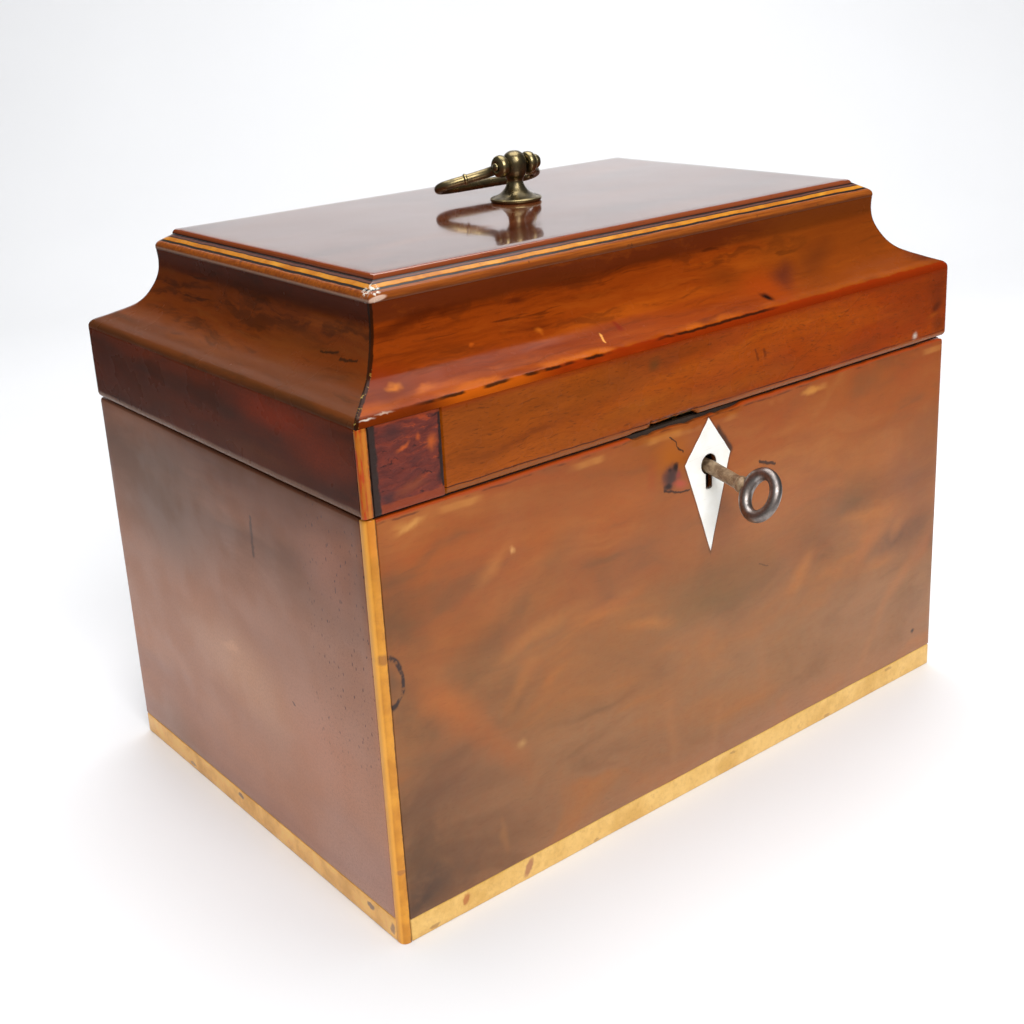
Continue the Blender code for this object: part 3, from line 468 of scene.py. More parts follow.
def mat_side(name, plane, tint=1.0, pore_zone=True):
    """Plain darker mahogany on the sides and back, with small dark pores."""
    g = Graph(name)
    rot = (0, 0, 90) if plane == "yz" else (0, 0, 0)
    w = g.warp(g.P, 0.02, 6.0, 8.0, 2.0)
    fig = g.noise(g.mapping(w, (3, 5, 1), scale=(0.012, 0.012, 0.05) if plane == "yz" else (0.012, 0.012, 0.05)), 1.0, 5.0, 0.55, 0.4)
    t = lambda c: tuple(min(1.0, k * tint) for k in c)
    base = g.ramp(g.rng(g.ma("ADD", g.z, g.ma("MULTIPLY", g.ma("SUBTRACT", fig, 0.5), 60.0)), 0.0, 116.0, smooth=False), [
        (0.0, t((0.185, 0.100, 0.085))), (0.35, t((0.225, 0.122, 0.092))), (0.62, t((0.190, 0.098, 0.070))),
        (0.85, t((0.074, 0.034, 0.020))), (1.0, t((0.074, 0.028, 0.015)))])
    base = g.mix(g.rng(fig, 0.35, 0.75, 0.0, 0.5), base, t((0.26, 0.125, 0.080)))
    if plane == "yz":
        p = g.warp(g.P, 0.04, 5.0, 4.0, 3.0)
        base = g.paint(base, p, "yz", [
            ((-55, 100), (24, 20), 0, t((0.210, 0.085, 0.052)), 0.7),
            ((-30, 108), (40, 14), 0, t((0.180, 0.075, 0.045)), 0.6),
            ((40, 92), (46, 34), -12, t((0.086, 0.050, 0.036)), 0.8),
            ((0, 50), (46, 18), 8, t((0.300, 0.175, 0.125)), 0.75),
            ((-44, 44), (30, 26), 0, t((0.270, 0.135, 0.100)), 0.7),
            ((50, 12), (30, 14), 0, t((0.165, 0.105, 0.090)), 0.6),
            ((5, 55), (9, 2.5), 0, t((0.36, 0.21, 0.15)), 0.45),
            ((-22, 112), (76, 15), 0, t((0.050, 0.016, 0.004)), 0.60),
            ((-56, 14), (34, 22), 0, t((0.250, 0.170, 0.170)), 0.50),
        ])
    fib = fibre(g, g.P, (0, 0, 90) if plane == "yz" else (0, 0, 0), 30.0, 0.7, 2.0)
    base = g.mix(g.rng(fib, 0.38, 0.68, 0.0, 0.16), base, t((0.075, 0.034, 0.024)))
    por = pores(g, w, rot, 0.4, 2.6, 0.42, 1.0)
    zone = g.noise(g.P, 0.025, 2.0)
    if plane == "yz" and pore_zone:
        zone = g.ma("ADD", g.ma("MULTIPLY", zone, 0.35), g.rng(g.y, -20.0, -74.0, 0.0, 0.85))
    por = g.mul(por, g.rng(zone, 0.30, 0.65), 0.35)
    if plane == "yz" and pore_zone:
        fleck = g.voronoi(g.mapping(g.warp(g.P, 0.3, 0.8, 3.0), rot=(-35, 0, 0), scale=(0.26, 0.75, 0.34)), 1.0)
        fleck = g.mul(g.rng(fleck, 0.10, 0.21, 1.0, 0.0), g.rng(zone, 0.38, 0.60), g.rng(g.z, 34.0, 62.0, 0.10, 1.0))
        por = g.ma("MAXIMUM", por, fleck)
    base = g.mix(g.ma("MULTIPLY", por, 0.9), base, (0.040, 0.016, 0.018))
    if plane == "yz" and pore_zone:
        q = g.warp(g.P, 0.5, 0.9, 2.0, 3.0)
        marks = g.ma("MAXIMUM",
                     g.line(q, "yz", [(-17.0, 101.5), (-16.6, 96.0), (-16.4, 90.5)], 0.18, 0.9),
                     g.line(q, "yz", [(-29.2, 52.0), (-30.4, 51.2)], 0.10, 0.35))
        base = g.mix(g.ma("MULTIPLY", marks, 0.8), base, (0.045, 0.022, 0.018))
    rough = g.mixf(g.rng(g.noise(g.P, 0.06, 3.0), 0.35, 0.65), 0.34, 0.46)
    h = g.ma("ADD", g.ma("MULTIPLY", g.noise(g.P, 0.14, 3.0, 0.5), 0.7), g.ma("MULTIPLY", fib, 0.08))
    h = g.ma("SUBTRACT", h, g.ma("MULTIPLY", por, 0.12))
    return g.done(base, rough, g.bump(h, 0.12, 0.5), Specular_IOR_Level=0.34)


def mat_fascia():
    """Front rail of the lid: glossy orange brown, redder to the right, with a spliced end."""
    g = Graph("lid_front_fascia")
    w = g.warp(g.P, 0.03, 5.0, 5.0, 3.0)
    fig = g.noise(g.mapping(w, (2, 0, 9), rot=(0, 6, 0), scale=(0.014, 0.02, 0.11)), 1.0, 5.0, 0.58, 0.5)
    left, right = (0.295, 0.106, 0.028), (0.322, 0.070, 0.002)
    base = g.mix(g.rng(g.x, -80.0, 60.0), left, right)
    base = g.mix(g.rng(fig, 0.45, 0.72, 0.0, 0.65), base, (0.44, 0.155, 0.030))
    base = g.mix(g.rng(fig, 0.48, 0.28, 0.0, 0.60), base, (0.170, 0.050, 0.014))
    p = g.warp(g.P, 0.06, 3.5, 1.0, 3.0)
    base = g.paint(base, p, "xz", [
        ((-40, 131), (36, 6), 0, (0.240, 0.092, 0.034), 0.6),
        ((-78, 127), (16, 12), 0, (0.230, 0.085, 0.030), 0.5),
        ((-18, 134), (3.5, 3.0), 30, (0.120, 0.070, 0.075), 0.8),
        ((-24, 124), (20, 3), 4, (0.330, 0.140, 0.050), 0.6),
        ((20, 128), (30, 8), 6, (0.400, 0.125, 0.014), 0.6),
        ((52, 126), (18, 6), 0, (0.400, 0.135, 0.024), 0.5),
        ((0, 121), (96, 4.5), 0, (0.310, 0.140, 0.050), 0.40),
        ((96, 130), (26, 14), 0, (0.180, 0.036, 0.002), 0.60),
        ((106, 133), (9, 12), 0, (0.110, 0.024, 0.012), 0.9),
        ((105.5, 127.4), (4.0, 2.6), 28, (0.022, 0.008, 0.012), 1.0),
        ((105.0, 127.2), (3.0, 1.8), 20, (0.022, 0.008, 0.012), 1.0),
        ((104, 124.6), (5.0, 1.4), 8, (0.360, 0.140, 0.030), 0.8),
        ((107.0, 121.5), (5, 4), 0, (0.110, 0.036, 0.020), 0.9),
        # Painted highlight: a small pale glint low on the right of the rail.
        ((94, 120.0), (2.4, 1.8), 0, (0.62, 1.0, 5.5), 0.9),
        ((94, 120.0), (1.6, 1.2), 0, (0.75, 1.2, 7.5), 0.9),
    ])
    # The spliced end: a slanting joint with a slightly different piece beyond it.
    e = g.ma("SUBTRACT", g.ma("SUBTRACT", g.x, 34.0), g.ma("MULTIPLY", g.ma("SUBTRACT", g.z, 120.0), 1.95))
    base = g.mix(g.mul(g.rng(e, -0.3, 0.3), 0.30), base, (0.33, 0.070, 0.008))
    base = g.mix(g.mul(g.band(e, 0.0, 0.08, 0.30), 0.45), base, (0.12, 0.030, 0.006))
    por = pores(g, w, (0, 14, 0), 0.5, 3.4, 0.34, 2.0)
    base = g.mix(g.ma("MULTIPLY", por, 0.50), base, (0.060, 0.022, 0.010))
    fib = fibre(g, p, (0, 4, 0), 30.0, 0.6, 6.0)
    base = g.mix(g.rng(fib, 0.36, 0.68, 0.0, 0.25), base, (0.11, 0.036, 0.012))
    q = g.warp(g.P, 0.5, 0.9, 3.0, 3.0)
    sc = g.line(q, "xz", [(21, 130.0), (22.3, 127.0)], 0.15, 0.5)
    sc = g.ma("MAXIMUM", sc, g.line(q, "xz", [(24.6, 129.6), (25.0, 127.4)], 0.2, 0.5))
    base = g.mix(g.ma("MULTIPLY", sc, 0.7), base, (0.13, 0.035, 0.010))
    # Lower lip: a light worn strip with a dark line over it.
    zz = g.ma("ADD", g.z, g.ma("MULTIPLY", g.ma("SUBTRACT", g.noise(g.P, 0.12, 3.0), 0.5), 0.9))
    base = g.mix(g.mul(g.rng(zz, 118.35, 117.95), 0.9), base, (0.270, 0.130, 0.140))
    base = g.mix(g.mul(g.band(zz, 118.5, 0.06, 0.20), g.rng(g.noise(g.P, 0.05, 2.0), 0.30, 0.50), 0.9),
                 base, (0.045, 0.014, 0.008))
    inset = inset_of(g)
    inner = g.ma("MAXIMUM", g.mul(g.rng(g.z, 117.9, 117.6), g.rng(inset, 1.8, 2.6)), g.rng(inset, 9.2, 9.6))
    base = bare(g, base, "lid_front_fascia", inner)
    # Painted shade: darker along the top, under the cove's nose.
    base = g.mix(g.mul(g.rng(zz, 136.6, 138.4), 0.55), base, (0.200, 0.030, 0.006))
    h = g.ma("ADD", g.ma("MULTIPLY", g.noise(g.P, 0.15, 3.0, 0.5), 0.9), g.ma("MULTIPLY", fib, 0.05))
    h = g.ma("SUBTRACT", h, g.ma("MULTIPLY", por, 0.10))
    rough = g.mixf(g.rng(g.noise(g.P, 0.07, 3.0), 0.35, 0.65), 0.20, 0.32)
    return g.done(base, rough, g.bump(h, 0.10, 0.5), Specular_IOR_Level=0.15, Coat_Weight=0.02, Coat_Roughness=0.12)


def bare(g, base, name, mask, colour=(0.19, 0.095, 0.045)):
    """Plain wood where the lid is not polished: its under edges and its inside."""
    trim = TRIM.get(name, (1.0, 1.0, 1.0))
    way = (0.35, 0.022, 0.30) if "side" in name or "left" in name or "right" in name else (0.022, 0.35, 0.30)
    grain = g.noise(g.mapping(g.warp(g.P, 0.03, 3.0, 3.0), (2, 5, 3), scale=way), 1.0, 5.0, 0.7)
    light = tuple(c / k for c, k in zip(colour, trim))
    deep = tuple(0.5 * c / k for c, k in zip(colour, trim))
    return g.mix(mask, base, g.mix(g.rng(grain, 0.40, 0.66), light, deep))


def inset_of(g):
    ax, ay = g.ma("ABSOLUTE", g.x), g.ma("ABSOLUTE", g.y)
    return g.ma("MINIMUM", g.ma("SUBTRACT", 110.8, ax), g.ma("SUBTRACT", 75.0, ay))


def mat_rail_side(name, plane):
    """The lid's other rails: very dark brown, redder towards the front."""
    g = Graph(name)
    w = g.warp(g.P, 0.03, 5.0, 5.0, 3.0)
    sc = (0.015, 0.015, 0.10)
    fig = g.noise(g.mapping(w, (8, 1, 9), scale=sc), 1.0, 5.0, 0.58, 0.5)
    base = g.mix(g.rng(fig, 0.30, 0.72), (0.040, 0.019, 0.012), (0.105, 0.038, 0.020))
    if plane == "yz":
        p = g.warp(g.P, 0.06, 3.5, 1.0, 3.0)
        base = g.paint(base, p, "yz", [
            ((-38, 134), (34, 8), 0, (0.190, 0.048, 0.018), 0.8),
            ((-58, 128), (22, 9), 0, (0.160, 0.046, 0.020), 0.7),
            ((-68, 131), (9, 9), 0, (0.120, 0.040, 0.014), 0.7),
            ((-25, 121), (36, 4.5), 0, (0.115, 0.065, 0.080), 0.50),
            ((62, 128), (40, 14), 0, (0.020, 0.009, 0.004), 0.50),
            ((30, 124), (50, 8), 0, (0.042, 0.022, 0.015), 0.6),
        ])
    por = pores(g, w, (0, 0, 90) if plane == "yz" else (0, 0, 0), 0.3, 3.0, 0.35, 3.0)
    base = g.mix(g.ma("MULTIPLY", por, 0.12), base, (0.015, 0.007, 0.005))
    zz = g.ma("ADD", g.z, g.ma("MULTIPLY", g.ma("SUBTRACT", g.noise(g.P, 0.12, 3.0), 0.5), 0.9))
    lip = tuple(c / k for c, k in zip((0.240, 0.115, 0.062), TRIM[name]))
    inset = inset_of(g)
    base = g.mix(g.mul(g.rng(zz, 119.0, 118.2), g.rng(inset, 2.4, 1.6), 0.8), base, lip)
    inner = g.ma("MAXIMUM", g.mul(g.rng(g.z, 117.9, 117.6), g.rng(inset, 1.8, 2.6)), g.rng(inset, 9.2, 9.6))
    base = bare(g, base, name, inner)
    fib = fibre(g, g.P, (0, 0, 90) if plane == "yz" else (0, 0, 0), 30.0, 0.6, 6.0)
    base = g.mix(g.rng(fib, 0.36, 0.68, 0.0, 0.30), base, (0.020, 0.010, 0.008))
    h = g.ma("ADD", g.ma("MULTIPLY", g.noise(g.P, 0.13, 3.0, 0.5), 0.9), g.ma("MULTIPLY", fib, 0.06))
    rough = g.mixf(g.rng(g.noise(g.P, 0.07, 3.0), 0.35, 0.65), 0.24, 0.38)
    return g.done(base, rough, g.bump(h, 0.10, 0.5), Specular_IOR_Level=0.07, Coat_Weight=0.02, Coat_Roughness=0.16)


def mat_patch():
    """The let-in patch: dark purple brown with torn orange flecks and a black joint."""
    g = Graph("lid_fascia_patch")
    w = g.warp(g.P, 0.25, 1.6, 5.0, 3.0)
    fig = g.noise(g.mapping(w, (1, 0, 4), rot=(0, 14, 0), scale=(0.17, 0.2, 0.62)), 1.0, 6.0, 0.65, 0.6)
    base = g.mix(g.rng(fig, 0.30, 0.62), (0.072, 0.026, 0.034), (0.140, 0.044, 0.042))
    torn = g.mul(g.rng(fig, 0.55, 0.64), g.rng(g.ma("ADD", g.x, g.ma("MULTIPLY", g.z, 0.35)), -58.0, -44.0, 0.10, 0.95))
    base = g.mix(g.ma("MULTIPLY", torn, 0.7), base, (0.34, 0.090, 0.020))
    bits = g.noise(g.mapping(w, (9, 0, 2), rot=(0, 20, 0), scale=(0.25, 0.3, 0.8)), 1.0, 4.0, 0.7)
    base = g.mix(g.rng(bits, 0.60, 0.70), base, (0.030, 0.012, 0.018))
    xx = g.ma("ADD", g.x, g.ma("MULTIPLY", g.ma("SUBTRACT", g.noise(g.P, 0.30, 4.0, 0.6), 0.5), 2.2))
    base = g.mix(g.rng(xx, -88.9, -88.3), base, (0.016, 0.008, 0.009))
    base = g.paint(base, g.warp(g.P, 0.6, 0.7, 4.0), "xz", [((-88.4, 122.0), (2.0, 2.4), 0, (0.016, 0.010, 0.020), 1.0),
                                                             ((-88.6, 126.4), (1.3, 1.6), 0, (0.020, 0.010, 0.016), 1.0)])
    zz = g.ma("ADD", g.z, g.ma("MULTIPLY", g.ma("SUBTRACT", g.noise(g.P, 0.2, 3.0), 0.5), 1.2))
    base = g.mix(g.mul(g.rng(zz, 119.4, 118.9), 0.8), base, (0.230, 0.070, 0.026))
    base = g.mix(g.mul(g.rng(zz, 137.6, 138.2), 0.5), base, (0.25, 0.070, 0.020))
    base = g.mix(g.rng(xx, -105.6, -106.2), base, (0.026, 0.026, 0.034))
    base = g.paint(base, g.warp(g.P, 0.3, 1.5, 4.0), "xz", [
        ((-101, 135.5), (5.0, 2.6), 0, (0.050, 0.030, 0.046), 0.8), ((-103.5, 120.5), (4.0, 2.4), 0, (0.045, 0.030, 0.050), 0.8),
        ((-98.8, 131.6), (3.0, 1.1), 24, (0.44, 0.150, 0.040), 0.9), ((-90.6, 131.0), (2.2, 3.0), 0, (0.42, 0.150, 0.030), 0.9),
        ((-94.2, 133.0), (1.2, 1.4), 0, (0.40, 0.130, 0.030), 0.8),
        ((-97, 121.5), (7.0, 2.4), 16, (0.200, 0.080, 0.040), 0.7)])
    h = g.ma("ADD", g.ma("MULTIPLY", fig, 0.6), g.ma("MULTIPLY", bits, -0.4))
    return g.done(base, g.mixf(bits, 0.22, 0.5), g.bump(h, 0.25, 0.6), Specular_IOR_Level=0.25, Coat_Weight=0.05, Coat_Roughness=0.2)


def mat_cove(name, plane, front=False):
    """The hollow moulding: straight-grained red brown, with smoky bands along it."""
    g = Graph(name)
    yz = plane == "yz"
    w = g.warp(g.P, 0.02, 4.0, 2.0, 3.0)
    sc = (0.09, 0.010, 0.16) if yz else (0.010, 0.09, 0.16)
    fig = g.noise(g.mapping(w, (4, 2, 6), scale=sc), 1.0, 6.0, 0.6, 0.35)
    along = g.y if yz else g.x
    if front:
        lo, mid, hi = (0.115, 0.026, 0.007), (0.270, 0.072, 0.013), (0.380, 0.125, 0.022)
    else:
        lo, mid, hi = (0.062, 0.017, 0.006), (0.150, 0.038, 0.010), (0.215, 0.062, 0.016)
    base = g.ramp(fig, [(0.28, lo), (0.48, mid), (0.72, hi)])
    # Painted shadow: a dark band below the top lip, under the banding's nose.
    zz = g.ma("ADD", g.z, g.ma("MULTIPLY", g.ma("SUBTRACT", fig, 0.5), 3.0))
    dark = (0.110, 0.032, 0.020) if front else (0.072, 0.014, 0.004)
    base = g.mix(g.mul(g.rng(zz, 155.6, 157.6), 0.85), base, dark)
    streak = g.noise(g.mapping(w, (1, 7, 2), scale=(0.5, 0.028, 0.55) if yz else (0.028, 0.5, 0.55)), 1.0, 3.0, 0.6)
    base = g.mix(g.mul(g.rng(streak, 0.60, 0.70), g.band(zz, 154.0, 3.0, 4.0), 0.65), base,
                 (0.060, 0.016, 0.008) if front else (0.026, 0.010, 0.008))
    smoke = g.noise(g.mapping(g.warp(g.P, 0.05, 4.0, 6.0, 3.0), (3, 1, 5), rot=(24, 0, 0) if yz else (0, -7, 0),
                              scale=(0.3, 0.022, 0.17) if yz else (0.020, 0.3, 0.15)), 1.0, 6.0, 0.66)
    base = g.mix(g.rng(smoke, 0.50, 0.64, 0.0, 0.58 if front else 0.60), base,
                 (0.120, 0.036, 0.014) if front else (0.040, 0.014, 0.010))
    base = g.mix(g.rng(smoke, 0.46, 0.34, 0.0, 0.30), base, (0.340, 0.120, 0.030) if front else (0.170, 0.062, 0.024))
    p = g.warp(g.P, 0.08, 3.0, 1.0, 3.0)
    if front:
        base = g.mix(g.mul(g.rng(g.x, 20.0, 60.0), 0.55), base, (0.215, 0.088, 0.028))
        base = g.paint(base, p, "xz", [
            ((36, 144.5), (16, 6), 0, (0.330, 0.080, 0.016), 0.7),
            ((46, 146), (9, 4.5), 20, (0.110, 0.036, 0.050), 0.85),
            ((62, 148), (16, 6), 20, (0.130, 0.046, 0.028), 0.6),
            ((32, 142.8), (2.8, 1.8), 0, (0.014, 0.006, 0.008), 1.0),
            ((32, 142.8), (1.8, 1.2), 0, (0.014, 0.006, 0.008), 1.0),
            ((22, 149), (12, 6), 0, (0.150, 0.050, 0.018), 0.5),
            ((-50, 154.2), (2.8, 1.2), 0, (0.110, 0.026, 0.010), 0.9),
            ((108, 143), (12, 9), 0, (0.090, 0.026, 0.024), 0.85),
            ((-60, 143.6), (60, 3.0), 0, (0.170, 0.034, 0.004), 0.6),
            ((-98, 144.0), (16, 4.0), 0, (0.130, 0.030, 0.008), 0.7),
            ((-47, 146.0), (1.6, 1.0), 0, (0.480, 0.190, 0.045), 0.9),
            ((-95, 144.2), (3.0, 0.8), 0, (0.60, 0.300, 0.060), 0.9),
            ((-88, 142.2), (5.0, 0.8), 0, (0.50, 0.200, 0.030), 0.7),
            ((-98, 146.5), (14, 3.0), 0, (0.210, 0.040, 0.010), 0.8),
            ((-68, 147.2), (1.2, 0.7), 0, (0.50, 0.160, 0.040), 0.8),
            ((-22, 143.6), (1.2, 0.8), 0, (0.20, 0.020, 0.005), 0.8),
            ((-80, 155.5), (26, 2.0), 4, (0.080, 0.018, 0.006), 0.8),
        ])
        spark = g.line(g.warp(g.P, 0.6, 0.4, 3.0), "xz", [(-31.4, 142.2), (-30.2, 143.4)], 0.05, 0.35)
        base = g.mix(g.ma("MULTIPLY", spark, 0.9), base, (0.9, 0.72, 0.55))
        # The rounded nose along the bottom: worn orange at the left, dark red further on.
        bot = g.ma("ADD", g.z, g.ma("MULTIPLY", g.ma("SUBTRACT", g.noise(g.P, 0.16, 3.0, 0.6), 0.5), 1.0))
        worn = g.mul(g.rng(bot, 141.9, 141.2), g.rng(g.noise(g.P, 0.05, 2.0, w=None), 0.42, 0.60), g.rng(g.x, 30.0, -10.0, 0.3, 1.0))
        base = g.mix(g.ma("MULTIPLY", worn, 0.8), base, (0.50, 0.190, 0.024))
        nose = g.mix(g.rng(g.x, -92.0, -80.0), (0.150, 0.036, 0.010), (0.460, 0.150, 0.020))
        nose = g.mix(g.rng(g.x, -66.0, -48.0), nose, (0.250, 0.034, 0.004))
        base = g.mix(g.mul(g.rng(bot, 140.9, 140.4), 0.9), base, nose)
        seam = g.mul(g.band(bot, 140.35, 0.14, 0.32), g.rng(g.noise(g.P, 0.09, 2.0), 0.38, 0.50),
                     g.rng(g.x, -96.0, -88.0), g.rng(g.x, 34.0, 24.0))
        base = g.mix(g.ma("MULTIPLY", seam, 0.9), base, (0.016, 0.010, 0.010))
        # Painted highlights: thin pale streaks along the nose at its left end.
        base = g.paint(base, g.warp(g.P, 0.5, 0.6, 2.0), "xz", [
            ((-107.5, 140.0), (3.2, 0.36), -3, (0.9, 1.5, 4.5), 0.7), ((-102.5, 140.4), (3.4, 0.28), 3, (0.8, 1.1, 3.0), 0.5)])
    elif yz:
        base = g.paint(base, p, "yz", [
            ((-28, 148), (26, 5), 0, (0.150, 0.048, 0.020), 0.6),
            ((-10, 158), (60, 4), 0, (0.050, 0.014, 0.006), 0.6),
            ((-62, 153), (5, 2), 30, (0.260, 0.062, 0.010), 0.7),
        ])
        base = g.mix(g.mul(g.rng(zz, 148.0, 141.5), 0.55), base, (0.090, 0.044, 0.034))
        ck = g.line(g.warp(g.P, 0.5, 0.7, 3.0, 3.0), "yz", [(-40, 147.8), (-47, 148.8)], 0.10, 0.35)
        ck = g.ma("MAXIMUM", ck, g.line(g.warp(g.P, 0.5, 0.7, 4.0, 3.0), "yz", [(-49, 147.6), (-56, 148.2)], 0.10, 0.3))
        base = g.mix(g.ma("MULTIPLY", ck, 0.8), base, (0.022, 0.012, 0.010))
    # The mitre: dark glue line, with a few pale specks along it that are painted highlights.
    ax, ay = g.ma("ABSOLUTE", g.x), g.ma("ABSOLUTE", g.y)
    mit = g.ma("ABSOLUTE", g.ma("SUBTRACT", g.ma("SUBTRACT", 110.8, ax), g.ma("SUBTRACT", 75.0, ay)))
    mit = g.ma("ADD", mit, g.ma("MULTIPLY", g.ma("SUBTRACT", g.noise(g.P, 0.4, 4.0, 0.6), 0.5), 0.9))
    wide = g.mul(g.rng(g.x, 0.0, -10.0), g.rng(g.y, 0.0, -10.0))
    mline = g.rng(g.ma("SUBTRACT", mit, g.ma("MULTIPLY", wide, 0.35)), 0.22, 0.65, 1.0, 0.0)
    base = g.mix(g.ma("MULTIPLY", mline, 0.92), base, (0.020, 0.010, 0.008))
    # Painted highlights: pale specks along the mitre.
    mitre_speck_highlights = g.mul(mline, g.rng(g.noise(g.P, 0.9, 3.0, 0.6), 0.60, 0.66), g.rng(g.z, 150.0, 144.0))
    base = g.mix(g.ma("MULTIPLY", mitre_speck_highlights, 0.9), base, (0.42, 0.40, 0.26))
    inset = inset_of(g)
    inner = g.ma("MAXIMUM", g.rng(inset, 25.0, 25.6), g.mul(g.rng(g.z, 138.62, 138.56), g.rng(inset, 2.0, 3.0)))
    base = bare(g, base, name, inner, (0.15, 0.060, 0.026))
    por = pores(g, w, (0, 0, 90) if yz else (0, 0, 0), 0.35, 5.0, 0.30, 2.0)
    base = g.mix(g.ma("MULTIPLY", por, 0.14), base, (0.040, 0.012, 0.006))
    h = g.ma("ADD", g.ma("MULTIPLY", g.noise(g.P, 0.13, 3.0, 0.5), 0.9), g.ma("MULTIPLY", fig, 0.12))
    h = g.ma("SUBTRACT", h, g.ma("MULTIPLY", mline, 0.3))
    rough = g.mixf(g.rng(g.noise(g.P, 0.08, 3.0), 0.35, 0.65), 0.16, 0.28)
    g.done(base, rough, g.bump(h, 0.09, 0.5), Specular_IOR_Level=0.06 if front else 0.15, Coat_Weight=0.02, Coat_Roughness=0.08)
    return g.m


def mat_banding():
    """Round the lid's top: mahogany lip, black line, boxwood line, thin brown line."""
    g = Graph("lid_top_banding")
    ax, ay = g.ma("ABSOLUTE", g.x), g.ma("ABSOLUTE", g.y)
    inset = g.ma("MINIMUM", g.ma("SUBTRACT", 110.8, ax), g.ma("SUBTRACT", 75.0, ay))
    wob = g.ma("MULTIPLY", g.ma("SUBTRACT", g.noise(g.P, 0.10, 4.0, 0.6), 0.5), 0.7)
    s = g.ma("ADD", inset, wob)
    fib = fibre(g, g.P, (0, 0, 0), 20.0, 0.8, 1.0)
    mah = g.mix(g.rng(fib, 0.35, 0.65), (0.330, 0.085, 0.008), (0.190, 0.040, 0.005))
    low = g.ma("ADD", g.z, g.ma("MULTIPLY", g.ma("SUBTRACT", g.noise(g.P, 0.20, 3.0), 0.5), 0.8))
    mah = g.mix(g.mul(g.rng(low, 162.9, 162.1), 0.8), mah, (0.110, 0.026, 0.006))
    box = g.mix(g.rng(g.noise(g.P, 0.22, 4.0, 0.6), 0.35, 0.70), (0.540, 0.200, 0.010), (0.420, 0.130, 0.006))
    lt = g.rng(g.noise(g.P, 0.12, 3.0), 0.5, 0.75, 0.0, 0.7)
    box = g.mix(lt, box, (0.660, 0.300, 0.030))
    col = g.mix(g.rng(s, 18.08, 18.20), mah, (0.012, 0.007, 0.006))
    col = g.mix(g.rng(s, 18.74, 18.86), col, box)
    col = g.mix(g.rng(s, 19.94, 20.04), col, (0.016, 0.008, 0.007))
    col = g.mix(g.rng(s, 20.22, 20.34), col, (0.120, 0.045, 0.032))
    # Painted shade: the near-black innermost strip, in the crease against the panel's edge.
    col = g.mix(g.rng(s, 20.80, 20.90), col, (0.012, 0.006, 0.005))
    chips = g.mul(g.rng(g.noise(g.P, 0.30, 4.0, 0.7), 0.64, 0.68), g.rng(s, 17.9, 18.3, 1.0, 0.6))
    col = g.mix(g.ma("MULTIPLY", chips, 0.8), col, (0.060, 0.018, 0.008))
    # Painted highlights: pale glints at the front left mitre, on the band's top and on the nose below it.
    near = g.blob(g.P, "xy", (-91.8, -56.0), (3.4, 3.4), 0)
    col = g.mix(g.mul(g.rng(near, 0.1, 0.5), g.rng(g.noise(g.P, 0.9, 3.0, 0.6), 0.50, 0.58), 0.8), col, (0.80, 0.76, 0.66))
    col = g.mix(g.mul(g.rng(g.blob(g.P, "xz", (-91.5, 162.6), (4.0, 1.0), 6), 0.1, 0.5), 0.6), col, (0.85, 0.62, 0.48))
    h = g.ma("ADD", g.noise(g.P, 0.4, 3.0), g.ma("MULTIPLY", g.band(s, 18.4, 0.3, 0.3), -0.5))
    return g.done(col, 0.30, g.bump(h, 0.25, 0.5), Specular_IOR_Level=0.22, Coat_Weight=0.04, Coat_Roughness=0.10)


def mat_panel():
    """The lid's top: highly polished dark red mahogany."""
    g = Graph("lid_top_panel")
    w = g.warp(g.P, 0.02, 7.0, 2.0, 3.0)
    fig = g.noise(g.mapping(w, (4, 2, 6), rot=(0, 0, 8), scale=(0.012, 0.085, 0.1)), 1.0, 6.0, 0.6, 0.5)
    base = g.ramp(fig, [(0.28, (0.050, 0.012, 0.005)), (0.50, (0.110, 0.026, 0.009)), (0.75, (0.180, 0.052, 0.016))])
    edge = g.ma("MINIMUM", g.ma("SUBTRACT", 89.2, g.ma("ABSOLUTE", g.x)), g.ma("SUBTRACT", 53.4, g.ma("ABSOLUTE", g.y)))
    e2 = g.ma("ADD", edge, g.ma("MULTIPLY", g.ma("SUBTRACT", g.noise(g.P, 0.12, 4.0), 0.5), 1.5))
    base = g.mix(g.rng(e2, 1.9, 0.8), base, (0.230, 0.045, 0.008))
    # Painted shade: near-black on the panel's edge just below its rounded top, where it stands over the banding.
    base = g.mix(g.mul(g.rng(g.z, 166.3, 165.9), g.rng(edge, 1.6, 0.8)), base, (0.016, 0.007, 0.005))
    base = bare(g, base, "lid_top_panel", g.rng(g.z, 163.2, 162.8), (0.20, 0.085, 0.036))
    por = pores(g, w, (0, 0, 0), 0.3, 6.0, 0.35, 2.0)
    base = g.mix(g.ma("MULTIPLY", por, 0.4), base, (0.030, 0.010, 0.006))
    wear = g.rng(g.noise(g.P, 0.30, 5.0, 0.7), 0.60, 0.72)
    wear = g.mul(wear, g.blob(g.P, "xy", (-76, -38), (30, 24), 0))
    base = g.mix(g.ma("MULTIPLY", wear, 0.7), base, (0.06, 0.04, 0.035))
    rough = g.ma("ADD", g.rng(g.noise(g.P, 0.045, 3.0), 0.35, 0.7, 0.075, 0.115), g.ma("MULTIPLY", wear, 0.18))
    h = g.ma("ADD", g.ma("MULTIPLY", g.noise(g.P, 0.055, 2.0, 0.4), 1.0), g.ma("MULTIPLY", g.noise(g.P, 0.35, 2.0), 0.05))
    return g.done(base, rough, g.bump(h, 0.35, 0.35), Specular_IOR_Level=0.78,
                  Specular_Tint=(1.0, 0.81, 0.77, 1.0), Coat_Weight=0.38, Coat_Roughness=0.05, Coat_IOR=1.5)


